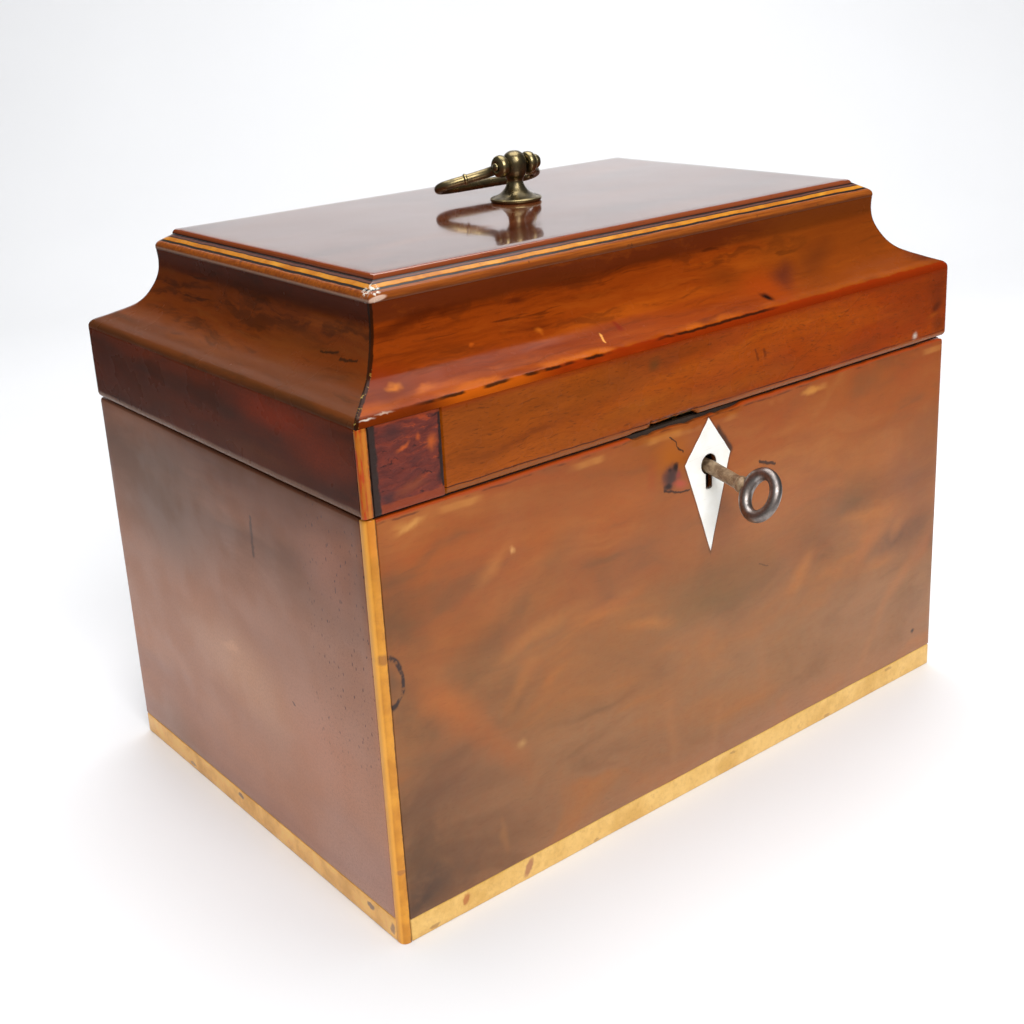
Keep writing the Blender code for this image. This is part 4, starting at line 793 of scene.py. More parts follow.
def mat_boxwood(name, light=False, spots=(), plane="xz", stains_and_light=None):
    """Yellow boxwood with fine grain, small brown repairs and dark edges."""
    g = Graph(name)
    a, b = ((0.800, 0.440, 0.105), (0.660, 0.330, 0.062)) if light else ((0.640, 0.280, 0.038), (0.470, 0.180, 0.020))
    n = g.noise(g.warp(g.P, 0.1, 3.0, 1.0), 0.10, 5.0, 0.6)
    base = g.mix(g.rng(n, 0.32, 0.68), a, b)
    fine = g.noise(g.P, 0.8, 5.0, 0.7)
    base = g.mix(g.rng(fine, 0.45, 0.75, 0.0, 0.35), base, (0.44, 0.190, 0.040))
    stains = g.rng(g.noise(g.P, 0.16, 4.0, 0.65), 0.62, 0.76)
    base = g.mix(g.ma("MULTIPLY", stains, 0.5), base, (0.40, 0.150, 0.040))
    q = g.warp(g.P, 0.6, 0.7, 4.0, 3.0)
    for c, r, ang, colour, strength in spots:
        f = g.ma("MULTIPLY", g.rng(g.blob(q, plane, c, r, ang), 0.05, 0.60), strength * 0.85)
        base = g.mix(f, base, colour)
    if stains_and_light is not None:
        base = stains_and_light(g, base)
    h = g.ma("ADD", g.ma("MULTIPLY", g.noise(g.P, 0.3, 3.0), 0.7), g.ma("MULTIPLY", fine, 0.2))
    return g.done(base, g.mixf(n, 0.28, 0.42), g.bump(h, 0.15, 0.5), Specular_IOR_Level=0.36)


def mat_brass(name, dark=True):
    """Brass: dark olive where it is aged, rubbed yellow on the high places."""
    g = Graph(name)
    n = g.noise(g.warp(g.P, 0.3, 1.5, 1.0), 0.35, 5.0, 0.65)
    if dark:
        base = g.mix(g.rng(n, 0.35, 0.66), (0.235, 0.180, 0.088), (0.100, 0.080, 0.046))
        fine = g.noise(g.P, 2.2, 4.0, 0.7)
        base = g.mix(g.rng(fine, 0.62, 0.74, 0.0, 0.7), base, (0.045, 0.034, 0.020))
        geo = g.t.nodes.new("ShaderNodeNewGeometry")
        rub = g.rng(geo.outputs["Pointiness"], 0.50, 0.60)
        base = g.mix(g.mul(rub, 0.55), base, (0.52, 0.43, 0.20))
        rough = g.mixf(g.rng(n, 0.35, 0.7), 0.25, 0.42)
        h = g.ma("ADD", g.ma("MULTIPLY", n, 0.5), g.ma("MULTIPLY", fine, 0.25))
        return g.done(base, rough, g.bump(h, 0.08, 0.45), 1.0)
    base = g.mix(g.rng(n, 0.35, 0.70), (0.60, 0.44, 0.17), (0.34, 0.23, 0.085))
    fine = g.noise(g.mapping(g.P, scale=(0.25, 2.0, 2.0)), 1.6, 4.0, 0.6)
    spots = g.rng(g.noise(g.P, 0.9, 4.0, 0.7), 0.60, 0.70)
    # Painted shade: darker along the front edge, where the brass lies in the gap under the lid; the rest are tarnish
    # spots.
    spots = g.ma("MAXIMUM", spots, g.rng(g.y, -71.6, -72.3))
    base = g.mix(g.ma("MULTIPLY", spots, 0.8), base, (0.06, 0.040, 0.020))
    rough = g.ma("ADD", g.mixf(n, 0.22, 0.40), g.ma("MULTIPLY", spots, 0.2))
    return g.done(base, rough, g.bump(g.ma("ADD", g.ma("MULTIPLY", fine, 0.3), n), 0.08, 0.4), 1.0)


def mat_iron(name, rusty=False):
    g = Graph(name)
    n = g.noise(g.warp(g.P, 0.4, 1.0, 1.0), 0.45, 5.0, 0.65)
    fine = g.noise(g.P, 2.0, 5.0, 0.7)
    if rusty:
        base = g.mix(g.rng(n, 0.32, 0.66), (0.40, 0.285, 0.165), (0.22, 0.140, 0.080))
        base = g.mix(g.rng(fine, 0.52, 0.70, 0.0, 0.7), base, (0.075, 0.045, 0.030))
        rough = g.mixf(fine, 0.32, 0.58)
        met = g.mixf(g.rng(n, 0.45, 0.65), 0.35, 0.75)
    else:
        base = g.mix(g.rng(n, 0.32, 0.66), (0.340, 0.305, 0.285), (0.195, 0.165, 0.150))
        base = g.mix(g.rng(fine, 0.58, 0.72, 0.0, 0.6), base, (0.085, 0.050, 0.032))
        rough = g.mixf(g.rng(n, 0.35, 0.7), 0.32, 0.48)
        met = g.mixf(g.rng(fine, 0.62, 0.74), 1.0, 0.6)
    h = g.ma("ADD", g.ma("MULTIPLY", n, 0.6), g.ma("MULTIPLY", fine, 0.4))
    return g.done(base, rough, g.bump(h, 0.18, 0.5), met)


def mat_bone(name):
    g = Graph(name)
    n = g.noise(g.warp(g.P, 0.1, 2.0, 1.0), 0.12, 4.0, 0.6)
    base = g.mix(g.rng(n, 0.35, 0.7), (0.985, 0.975, 0.925), (0.930, 0.910, 0.830))
    fine = fibre(g, g.P, (0, 90, 0), 8.0, 0.25, 1.0)
    base = g.mix(g.rng(fine, 0.60, 0.72, 0.0, 0.30), base, (0.62, 0.56, 0.44))
    return g.done(base, g.mixf(n, 0.30, 0.45), g.bump(g.noise(g.P, 0.5, 3.0), 0.12, 0.3), Specular_IOR_Level=0.5)


def mat_lead():
    """Beaten lead foil: dull grey with creases and a pale bloom."""
    g = Graph("lead_foil")
    v = g.voronoi(g.warp(g.P, 0.08, 6.0, 1.0, 3.0), 0.085, "DISTANCE_TO_EDGE")
    crease = g.rng(v, 0.0, 0.06, 1.0, 0.0)
    n = g.noise(g.P, 0.06, 5.0, 0.6)
    base = g.mix(g.rng(n, 0.35, 0.68), (0.30, 0.305, 0.31), (0.46, 0.455, 0.44))
    base = g.mix(g.ma("MULTIPLY", crease, 0.5), base, (0.20, 0.20, 0.20))
    fine = g.noise(g.P, 0.7, 4.0, 0.65)
    base = g.mix(g.rng(fine, 0.60, 0.74, 0.0, 0.6), base, (0.20, 0.19, 0.17))
    h = g.ma("ADD", g.ma("MULTIPLY", g.noise(g.P, 0.12, 3.0), 1.2), g.ma("MULTIPLY", crease, 0.5))
    return g.done(base, g.mixf(n, 0.38, 0.6), g.bump(h, 0.5, 0.5), 0.85)


def mat_carcase(name, colour=(0.30, 0.165, 0.075), plane="xy"):
    """Plain unpolished wood with long grain."""
    g = Graph(name)
    w = g.warp(g.P, 0.02, 6.0, 3.0, 3.0)
    rot = (0, 0, 90) if plane == "yz" else (0, 0, 0)
    rings = fibre(g, w, rot, 90.0, 3.2, 1.0)
    d = tuple(c * 0.52 for c in colour)
    base = g.mix(g.rng(rings, 0.32, 0.68), colour, d)
    fib = fibre(g, g.P, rot, 24.0, 0.5, 3.0)
    base = g.mix(g.rng(fib, 0.40, 0.70, 0.0, 0.5), base, tuple(c * 0.30 for c in colour))
    dirt = g.rng(g.noise(g.P, 0.03, 4.0, 0.6), 0.50, 0.75, 0.0, 0.6)
    base = g.mix(dirt, base, tuple(c * 0.35 for c in colour))
    # Painted shade: near-black on the outer face under the lid's gap and round the keyhole, where the inside lies in
    # shadow.
    edge = g.mul(g.rng(g.y, -71.4, -72.2), g.rng(g.z, 108.0, 112.0))
    hole = g.mul(g.blob(g.P, "xz", (2.4, 98.5), (9.0, 12.0), 0), g.rng(g.y, -58.0, -62.0))
    edge = g.ma("MAXIMUM", edge, g.rng(hole, 0.15, 0.45))
    base = g.mix(g.ma("MULTIPLY", edge, 0.9), base, (0.012, 0.007, 0.005))
    h = g.ma("ADD", g.ma("MULTIPLY", fib, 0.6), g.ma("MULTIPLY", rings, 0.3))
    return g.done(base, g.mixf(fib, 0.50, 0.72), g.bump(h, 0.25, 0.6))


def mat_inner_lid(name):
    g = Graph(name)
    w = g.warp(g.P, 0.02, 7.0, 5.0, 3.0)
    fig = g.noise(g.mapping(w, (4, 9, 6), rot=(0, 0, 4), scale=(0.10, 0.012, 0.1)), 1.0, 6.0, 0.6, 0.5)
    base = g.ramp(fig, [(0.28, (0.085, 0.028, 0.012)), (0.50, (0.190, 0.066, 0.024)), (0.75, (0.290, 0.115, 0.040))])
    por = pores(g, w, (0, 0, 90), 0.5, 4.0, 0.35, 2.0)
    base = g.mix(g.ma("MULTIPLY", por, 0.5), base, (0.040, 0.014, 0.008))
    fib = fibre(g, g.P, (0, 0, 90), 30.0, 0.6, 3.0)
    base = g.mix(g.rng(fib, 0.40, 0.70, 0.0, 0.35), base, (0.07, 0.025, 0.012))
    h = g.ma("ADD", g.noise(g.P, 0.12, 3.0), g.ma("MULTIPLY", fib, 0.15))
    return g.done(base, g.mixf(g.noise(g.P, 0.05, 3.0), 0.24, 0.42), g.bump(h, 0.2, 0.4), Coat_Weight=0.25, Coat_Roughness=0.15)


# ============================================================ shapes

def nz(p, scale, seed=0.0):
    """Smooth noise from -1 to 1 at a point given in millimetres."""
    return noise.noise(Vector(((p[0] + seed) * scale, (p[1] + seed * 1.7) * scale, (p[2] - seed * 0.6) * scale)))


def wander(p, amount, seed=0.0):
    """A small smooth displacement, the same for every piece at the same place."""
    return Vector((nz(p, 0.035, seed) * amount + nz(p, 0.25, seed + 9) * amount * 0.07,
                   nz(p, 0.035, seed + 31) * amount + nz(p, 0.25, seed + 40) * amount * 0.07,
                   nz(p, 0.035, seed + 57) * amount + nz(p, 0.25, seed + 66) * amount * 0.07))


def smooth_by_angle(mesh, angle=32.0):
    mesh.shade_smooth()
    mesh.set_sharp_from_angle(angle=math.radians(angle))


def piece(name, bm, mat, body, nodes=(), angle=32.0):
    """Turns a bmesh in millimetres into a piece that rides on a body."""
    for v in bm.verts:
        v.co.x, v.co.z = min(110.8, max(-110.8, v.co.x)), max(0.0, v.co.z)
    bmesh.ops.recalc_face_normals(bm, faces=bm.faces)
    bmesh.ops.scale(bm, vec=(MM, MM, MM), verts=bm.verts)
    mesh = bpy.data.meshes.new(name)
    bm.to_mesh(mesh)
    bm.free()
    smooth_by_angle(mesh, angle)
    mesh.materials.append(mat)
    obj = bpy.data.objects.new(name, mesh)
    scene.collection.objects.link(obj)
    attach(obj, body)
    if nodes:
        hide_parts(*nodes)
    return obj


def ticks(a, b, step, extra=()):
    n = max(1, int(round((b - a) / step)))
    vals = [a + (b - a) * i / n for i in range(1, n)]
    return sorted(set([round(v, 4) for v in vals] + [round(v, 4) for v in extra if a + 0.02 < v < b - 0.02]))


def slab_bm(x, y, z, cell=3.0, bevel=0.5, segments=3, extra=((), (), ()), only_top=False):
    """A block with rounded edges, cut into a grid so that it can be shaped."""
    bm = bmesh.new()
    bmesh.ops.create_cube(bm, size=1.0)
    for v in bm.verts:
        v.co = Vector(((x[0] + x[1]) / 2 + v.co.x * (x[1] - x[0]), (y[0] + y[1]) / 2 + v.co.y * (y[1] - y[0]),
                       (z[0] + z[1]) / 2 + v.co.z * (z[1] - z[0])))
    if bevel:
        edges = [e for e in bm.edges if not only_top or all(v.co.z > z[1] - 0.01 for v in e.verts)]
        bmesh.ops.bevel(bm, geom=edges, offset=bevel, segments=segments, profile=0.5, affect="EDGES")
    for axis, (a, b), more in zip(((1, 0, 0), (0, 1, 0), (0, 0, 1)), (x, y, z), extra):
        lim = bevel + 0.05
        for t in ticks(a, b, cell, more):
            if a + lim < t < b - lim:
                bmesh.ops.bisect_plane(bm, geom=bm.verts[:] + bm.edges[:] + bm.faces[:], dist=1e-6,
                                       plane_co=Vector(axis) * t, plane_no=axis)
    return bm


def slab(name, x, y, z, mat, body, slot, nodes=(), shape=None, wobble=0.10, seed=0.0, **kw):
    bm = slab_bm(x, y, z, **kw)
    for v in bm.verts:
        p = v.co.copy()
        q = p + wander(p, wobble, seed)
        if shape:
            q = shape(p, q)
        v.co = q
    return piece(name, bm, mat, body, nodes)


def catmull(points, per):
    """Points along a smooth curve through the given ones."""
    out = []
    n = len(points)
    for i in range(n - 1):
        p0, p1, p2, p3 = points[max(i - 1, 0)], points[i], points[i + 1], points[min(i + 2, n - 1)]
        for k in range(per):
            t = k / per
            out.append(tuple(0.5 * (2 * b + (c - a) * t + (2 * a - 5 * b + 4 * c - d) * t * t
                                    + (3 * b - a - 3 * c + d) * t ** 3) for a, b, c, d in zip(p0, p1, p2, p3)))
    out.append(tuple(points[-1]))
    return out


def lathe_bm(bm, profile, frame, steps=72, uneven=0.0, seed=0.0):
    """Turns a profile of (radius, height) about the frame's Z, ends closed where the radius is zero."""
    rings = []
    for r, h in profile:
        if r < 1e-4:
            rings.append([bm.verts.new(frame @ Vector((0, 0, h)))])
            continue
        ring = []
        for k in range(steps):
            a = 2 * math.pi * k / steps
            p = Vector((r * math.cos(a), r * math.sin(a), h))
            if uneven:
                p.xy *= 1 + uneven * nz(p, 0.5, seed) / max(r, 0.5)
            ring.append(bm.verts.new(frame @ p))
        rings.append(ring)
    for a, b in zip(rings, rings[1:]):
        if len(a) == 1 and len(b) == 1:
            continue
        for k in range(steps):
            m = (k + 1) % steps
            if len(a) == 1:
                bm.faces.new((a[0], b[k], b[m]))
            elif len(b) == 1:
                bm.faces.new((a[k], b[0], a[m]))
            else:
                bm.faces.new((a[k], b[k], b[m], a[m]))
    return rings


def lathe_closed(bm, profile, frame, steps=72):
    """Turns a closed loop of (radius, height), for a ring with a bore."""
    rings = [[bm.verts.new(frame @ Vector((r * math.cos(2 * math.pi * k / steps), r * math.sin(2 * math.pi * k / steps), h)))
              for k in range(steps)] for r, h in profile]
    for i in range(len(rings)):
        a, b = rings[i], rings[(i + 1) % len(rings)]
        for k in range(steps):
            m = (k + 1) % steps
            bm.faces.new((a[k], b[k], b[m], a[m]))


def tube_bm(bm, points, radius, sides=28, closed=False, squash=1.0):
    """A round bar along points, in millimetres. radius is a number or a function of the share of its length."""
    pts = [Vector(p) for p in points]
    n = len(pts)
    tang = []
    for i in range(n):
        a = pts[(i - 1) % n] if closed else pts[max(i - 1, 0)]
        b = pts[(i + 1) % n] if closed else pts[min(i + 1, n - 1)]
        tang.append((b - a).normalized())
    ref = Vector((0, 0, 1)) if abs(tang[0].z) < 0.9 else Vector((1, 0, 0))
    side = tang[0].cross(ref).normalized()
    rings = []
    for i in range(n):
        side = (side - tang[i] * side.dot(tang[i])).normalized()
        up = tang[i].cross(side)
        r = radius(i / (n - 1 if not closed else n)) if callable(radius) else radius
        rings.append([bm.verts.new(pts[i] + (side * math.cos(2 * math.pi * k / sides)
                                             + up * math.sin(2 * math.pi * k / sides) * squash) * r)
                      for k in range(sides)])
    pairs = list(zip(rings, rings[1:])) + ([(rings[-1], rings[0])] if closed else [])
    for a, b in pairs:
        for k in range(sides):
            m = (k + 1) % sides
            bm.faces.new((a[k], b[k], b[m], a[m]))
    if not closed:
        bm.faces.new(rings[0])
        bm.faces.new(list(reversed(rings[-1])))


LX, LY = 110.8, 75.0
SIDES = {"front": (Vector((0, 1, 0)), Vector((1, 0, 0)), LX, LY), "back": (Vector((0, -1, 0)), Vector((-1, 0, 0)), LX, LY),
         "left": (Vector((1, 0, 0)), Vector((0, -1, 0)), LY, LX), "right": (Vector((-1, 0, 0)), Vector((0, 1, 0)), LY, LX)}


def dense(section, step):
    """A closed outline with no edge longer than step."""
    out = []
    for i, p in enumerate(section):
        q = section[(i + 1) % len(section)]
        n = max(1, int(math.ceil(math.dist(p, q) / step)))
        out += [(p[0] + (q[0] - p[0]) * k / n, p[1] + (q[1] - p[1]) * k / n) for k in range(n)]
    return out


def moulding(name, section, side, mat, body, nodes=(), shape=None, wobble=0.10, step=1.6, run=2.0, seed=0.0,
             start=None, angle=32.0):
    """A moulding along one side of the lid, mitred at both ends. The section is (inset, height)."""
    inward, way, half, across = SIDES[side]
    pts = dense(section, step)
    n = max(8, int(round(2 * half / run)))
    stations = sorted({-1 + 2 * i / n for i in range(n + 1)}
                      | {e * (1 - k / half) for e in (-1, 1) for k in (0.35, 0.7, 1.05, 1.5, 2.1, 2.7, 3.3)})
    bm = bmesh.new()
    rows = []
    for t in stations:
        row = []
        for inset, h in pts:
            along = t * (half - inset)
            if start is not None:
                along = start + (t + 1) / 2 * (half - inset - start)
            p = -inward * (across - inset) + way * along + Vector((0, 0, h))
            q = p + wander(p, wobble, seed)
            if shape:
                q = shape(p, q, inset, h)
            if p.x > 0 or p.y > 0:
                # The lid's corners are rubbed round, most of all the one at the back on the left.
                r = 2.0 + 0.08 * inset if p.x < 0 else 0.8
                round_corner(q, "x", math.copysign(110.8 - inset, p.x), "y", math.copysign(75.0 - inset, p.y), r)
            row.append(bm.verts.new(q))
        rows.append(row)
    m = len(pts)
    for a, b in zip(rows, rows[1:]):
        for k in range(m):
            j = (k + 1) % m
            bm.faces.new((a[k], a[j], b[j], b[k]))
    for tri in tessellate_polygon([[Vector((i, h, 0.0)) for i, h in pts]]):
        bm.faces.new([rows[0][k] for k in tri])
        bm.faces.new([rows[-1][k] for k in reversed(tri)])
    return piece(name, bm, mat, body, nodes, angle)


def bump_in(x, a, b, soft):
    """1 between a and b, falling off over soft at either end."""
    s = lambda t: max(0.0, min(1.0, t))
    u, v = s((x - a) / soft), s((b - x) / soft)
    return u * u * (3 - 2 * u) * v * v * (3 - 2 * v)


# ============================================================ the box

FRONT, SIDE_L = mat_front(), mat_side("left_side_veneer", "yz")
SIDE_R = mat_side("right_side_veneer", "yz", 1.0, False)
BACK = mat_side("back_board_wood", "xz", 0.95, False)


def round_corner(q, a, ca, b, cb, r):
    """Rounds off the corner of a section that stands at (ca, cb), with radius r."""
    sa, sb = math.copysign(1, ca), math.copysign(1, cb)
    da, db = (getattr(q, a) - ca) * sa + r, (getattr(q, b) - cb) * sb + r
    if da > 0 and db > 0:
        k = max(da, db) / math.hypot(da, db)
        setattr(q, a, ca + sa * (da * k - r))
        setattr(q, b, cb + sb * (db * k - r))
    return q


def edging_top(x):
    return 6.45 + 0.85 * (x + 107) / 217 + 0.18 * nz((x, 0, 0), 0.05, 3)


def front_shape(p, q):
    x, z = p.x, p.z
    # Bottom edge follows the edging.
    if z < 12:
        q.z += (edging_top(x) + 0.12 - 6.8) * max(0.0, 1 - (z - 6.8) / 5.2)
    # Chips broken out of the top edge above the lock, and small losses elsewhere.
    depth = 1.25 * bump_in(x, -27.5, 15.8, 2.0) * (0.75 + 0.45 * nz((x, 0, 0), 0.30, 4))
    depth += 0.55 * max(0.0, nz((x, 0, 0), 0.22, 17) - 0.12) + 0.10
    if z > 110:
        q.z -= depth * ((z - 110) / 6.0) ** 2
    if z > 113.4:
        q.y += 0.28 * bump_in(x, -27.5, 15.8, 2.0) * (z - 113.4) / 2.6
    return round_corner(q, "x", 110.0, "z", 116.0, 1.5)


def edge_shape(p, q):
    if p.z > 4:
        q.z += (edging_top(p.x) - 6.5) * (p.z - 4) / 2.5
    if p.z < 1.0:
        q.z = max(q.z, 0.0)
        q.z += 0.12 * abs(nz(p, 0.3, 8))
    return q


def low_shape(p, q):
    q.z = max(q.z, 0.0)
    return q


FX0, FX1 = -107.25, 110.0
VENEER_FACE = slab("front_veneer_face", (FX0, FX1), (-74.5, -73.1), (6.8, 116.0), FRONT, "root", "front_mahogany", ["front_veneer"],
     shape=front_shape, cell=2.0, bevel=0.30, wobble=0.06, seed=1.0,
     extra=([], [], [111 + 0.4 * i for i in range(12)]))

SPOT = (0.215, 0.075, 0.026)
edge_front_mat = mat_boxwood("edging_front_box", True, [
    ((-89.8, 4.2), (2.6, 1.6), 75, (0.42, 0.105, 0.020), 0.95),
    ((-68.5, 3.6), (1.9, 4.4), -28, (0.36, 0.115, 0.045), 0.95),
    ((-100, 1.2), (3.0, 0.9), 0, SPOT, 0.6),
    ((-44, 1.0), (1.6, 0.8), 0, SPOT, 0.5),
    ((12, 5.6), (2.2, 0.7), 0, SPOT, 0.5),
    ((56, 1.0), (2.2, 0.8), 0, SPOT, 0.5),
    ((88, 5.9), (3.0, 0.7), 0, SPOT, 0.5),
], "xz")
edge_side_mat = mat_boxwood("edging_side_box", False, [
    ((-60, 4.4), (2.6, 1.6), 0, (0.10, 0.05, 0.03), 0.9),
    ((-70, 3.0), (1.6, 2.6), 20, (0.14, 0.06, 0.03), 0.8),
    ((10, 4.8), (2.6, 1.2), 0, (0.10, 0.05, 0.03), 0.9),
    ((42, 1.6), (3.2, 1.0), 0, (0.16, 0.08, 0.04), 0.7),
], "yz")
slab("edging_front", (-107.2, 110.0), (-74.5, -71.4), (0.0, 6.5), edge_front_mat, "root", "boxwood", ["base_edging_front"],
     shape=edge_shape, cell=2.2, bevel=0.45, wobble=0.07, seed=2.0)
for side, s in (("left", -1), ("right", 1)):
    slab("edging_" + side, sorted((s * 107.0, s * 110.0)), (-71.4, 74.5), (0.0, 6.7), edge_side_mat, "root", "boxwood",
         ["base_edging_" + side], shape=low_shape, cell=2.2, bevel=0.45, wobble=0.07, seed=2.0)
    slab(side + "_veneer_face", sorted((s * 108.6, s * 110.0)), (-71.4 if s < 0 else -73.1, 74.5), (6.8, 116.0),
         SIDE_L if s < 0 else SIDE_R, "root", "side_mahogany", [side + "_veneer"], cell=3.0, bevel=0.30, wobble=0.06,
         seed=1.0, shape=lambda p, q, s=s: round_corner(q, "x", s * 110.0, "z", 116.0, 1.0),
         extra=([], [], [115.0, 115.3, 115.5]))


def string_stain_and_highlight(g, base):
    wob = g.ma("MULTIPLY", g.ma("SUBTRACT", g.noise(g.P, 0.35, 4.0, 0.65), 0.5), 0.9)
    # Dark glue where the string meets the veneers.
    e = g.ma("MAXIMUM", g.rng(g.ma("ADD", g.x, wob), -107.75, -107.45), g.rng(g.ma("ADD", g.y, wob), -71.95, -71.6))
    base = g.mix(g.ma("MULTIPLY", e, 0.7), base, (0.060, 0.026, 0.012))
    # Paler on the face turned to the left and its rubbed outer edge: partly wear, partly a painted highlight.
    base = g.mix(g.mul(g.rng(g.x, -109.3, -109.8), 0.65), base, (0.90, 0.42, 0.085))
    gap = g.rng(g.noise(g.mapping(g.P, scale=(1.0, 1.0, 0.5)), 0.30, 4.0, 0.7), 0.66, 0.74)
    return g.mix(g.ma("MULTIPLY", gap, 0.5), base, (0.30, 0.120, 0.030))


def lid_string_stain(g, base):
    wob = g.ma("MULTIPLY", g.ma("SUBTRACT", g.noise(g.P, 0.35, 4.0, 0.65), 0.5), 0.9)
    e = g.rng(g.ma("ADD", g.x, wob), -108.35, -108.05)
    base = g.mix(g.ma("MULTIPLY", e, 0.8), base, (0.060, 0.040, 0.050))
    red = g.noise(g.mapping(g.P, scale=(1.6, 1.6, 0.16)), 1.0, 3.0, 0.6)
    base = g.mix(g.mul(g.rng(red, 0.44, 0.58), g.rng(g.x, -109.0, -109.8, 0.2, 1.0), 0.85), base, (0.70, 0.090, 0.020))
    return g.mix(g.mul(g.band(g.x, -108.9, 0.25, 0.3), 0.5), base, (0.95, 0.62, 0.35))


STRING = mat_boxwood("corner_string_box", False, [
    ((-108.6, 21.5), (2.2, 1.2), 0, (0.34, 0.13, 0.05), 0.9),
    ((-108.8, 112.0), (3.0, 9.0), 0, (0.60, 0.180, 0.020), 0.6),
    ((-108.6, 80.5), (2.2, 2.2), 0, (0.30, 0.11, 0.03), 0.9),
], "xz", string_stain_and_highlight)
slab("corner_string_front", (-110.0, -107.35), (-74.5, -71.5), (0.0, 116.0), STRING, "root", "boxwood", ["corner_string"],
     shape=lambda p, q: low_shape(p, round_corner(q, "x", -110.0, "y", -74.5, 2.0)), cell=1.3, bevel=0.25, wobble=0.08,
     seed=3.0, extra=([-109.8 + 0.25 * i for i in range(9)], [-74.3 + 0.25 * i for i in range(9)], []))

# ============================================================ the lid

FASCIA, COVE_F = mat_fascia(), mat_cove("cove_front_wood", "xz", True)
RAIL_L, RAIL_R = mat_rail_side("rail_left_wood", "yz"), mat_rail_side("rail_right_wood", "yz")
RAIL_B = mat_rail_side("rail_back_wood", "xz")
COVE_S, COVE_B = mat_cove("cove_side_wood", "yz"), mat_cove("cove_back_wood", "xz")

RAIL_HEAD = [(0.0, 138.0), (0.0, 138.4), (0.04, 138.48), (9.8, 138.48)]
RAIL = [(9.8, 117.4), (2.7, 117.4), (2.45, 116.85), (1.2, 116.7), (0.55, 116.85), (0.18, 117.3), (0.0, 118.0),
        (0.0, 119.15)] + RAIL_HEAD
RAIL_BACK = [(9.8, 117.4), (1.1, 117.4), (0.55, 117.55), (0.18, 117.95), (0.0, 118.6), (0.0, 119.15)] + RAIL_HEAD
# The hollow moulding: a rounded nose over the rail, the hollow, and an upright head.
COVE = [(26.0, 138.52), (0.02, 138.52), (0.02, 138.75), (0.08, 139.25), (0.28, 139.8), (0.66, 140.3)]
COVE += catmull([(1.2, 140.7), (2.4, 141.2), (3.9, 141.8), (6.1, 142.8), (8.3, 143.8), (10.5, 145.0), (11.6, 145.85),
                 (12.7, 146.95), (13.8, 148.4), (14.9, 150.3), (15.8, 152.2), (16.5, 154.2), (16.9, 156.2),
                 (17.05, 158.4)], 3)
COVE += [(17.03, 159.6), (16.97, 160.6), (16.9, 161.2), (16.88, 161.7), (26.0, 161.7)]


def rail_shape(p, q, inset, h):
    if inset < 5 and abs(p.y + 75) < 6 and abs(p.x) < 109:
        # Broken lower edge near the middle of the front.
        d = (0.25 * bump_in(p.x, -27.5, -18.0, 1.5) + 1.25 * bump_in(p.x, -20.5, -1.5, 1.2)) * (0.8 + 0.5 * nz((p.x, 0, 0), 0.45, 5))
        if h < 118.7:
            q.z += d
            q.y += 0.4 * d
    return q


def cove_shape(p, q, inset, h):
    if inset < 2.5 and p.y < -72 and h > 139.0 and abs(p.x) < 109:
        # Knocks along the nose, mostly left of the middle.
        d = 0.45 * bump_in(p.x, -50, -2, 4) * (0.45 + 0.9 * nz((p.x, 0, 0), 0.35, 11))
        d += 0.10 * max(0.0, nz((p.x, 0, 0), 0.30, 21))
        q.z -= max(0.0, d) * (1 - inset / 2.5)
        q.y += max(0.0, d) * 0.7 * (1 - inset / 2.5)
    return q


# The front rail starts after the stringing, and steps back behind the let-in patch.
def front_rail_shape(p, q, inset, h):
    q = rail_shape(p, q, inset, h)
    if p.x < -87.75:
        q.y = max(q.y, -73.4)
    return q


def clear_string(p, q, inset, h):
    """Steps the left rail back where the corner stringing stands."""
    if inset < 3.1:
        q.y = max(q.y, -73.62)
    return q


moulding("lid_rail_front", RAIL, "front", FASCIA, "lid", ["lid_front_rail"], front_rail_shape, seed=4.0,
         run=1.0, start=-107.7, wobble=0.07, step=1.2)
moulding("lid_rail_left", RAIL, "left", RAIL_L, "lid", ["lid_left_rail"], clear_string, seed=4.0,
         wobble=0.07)
moulding("lid_rail_right", RAIL, "right", RAIL_R, "lid", ["lid_right_rail"], rail_shape, seed=4.0,
         wobble=0.07)
moulding("lid_rail_back", RAIL_BACK, "back", RAIL_B, "lid", ["lid_back_rail"], None, seed=4.0, wobble=0.07)
for side, mat in (("front", COVE_F), ("left", COVE_S), ("right", COVE_S), ("back", COVE_B)):
    moulding("lid_hollow_" + side, COVE, side, mat, "lid", ["lid_cove_" + side], cove_shape, seed=4.0,
             run=1.2 if side in ("front", "left") else 2.5, wobble=0.10, step=1.2)

BAND = [(21.5, 161.75), (16.86, 161.75), (16.80, 162.0), (16.78, 162.4), (16.84, 162.85), (17.02, 163.3), (17.36, 163.74),
        (17.8, 164.05), (18.2, 164.3), (18.9, 164.72), (20.2, 165.5), (20.8, 165.85), (21.2, 166.1), (21.5, 165.9)]
BANDING = mat_banding()
for side in SIDES:
    moulding("top_band_" + side, BAND, side, BANDING, "lid", ["lid_top_banding"] if side == "front" else (),
             None, seed=4.0, run=1.5, wobble=0.08, step=0.5)

PANEL = mat_panel()
slab("lid_panel", (-89.15, 89.15), (-53.35, 53.35), (162.3, 167.3), PANEL, "lid", "panel_mahogany", ["lid_top_panel"],
     cell=4.0, bevel=1.4, segments=6, wobble=0.10, seed=5.0, only_top=True)

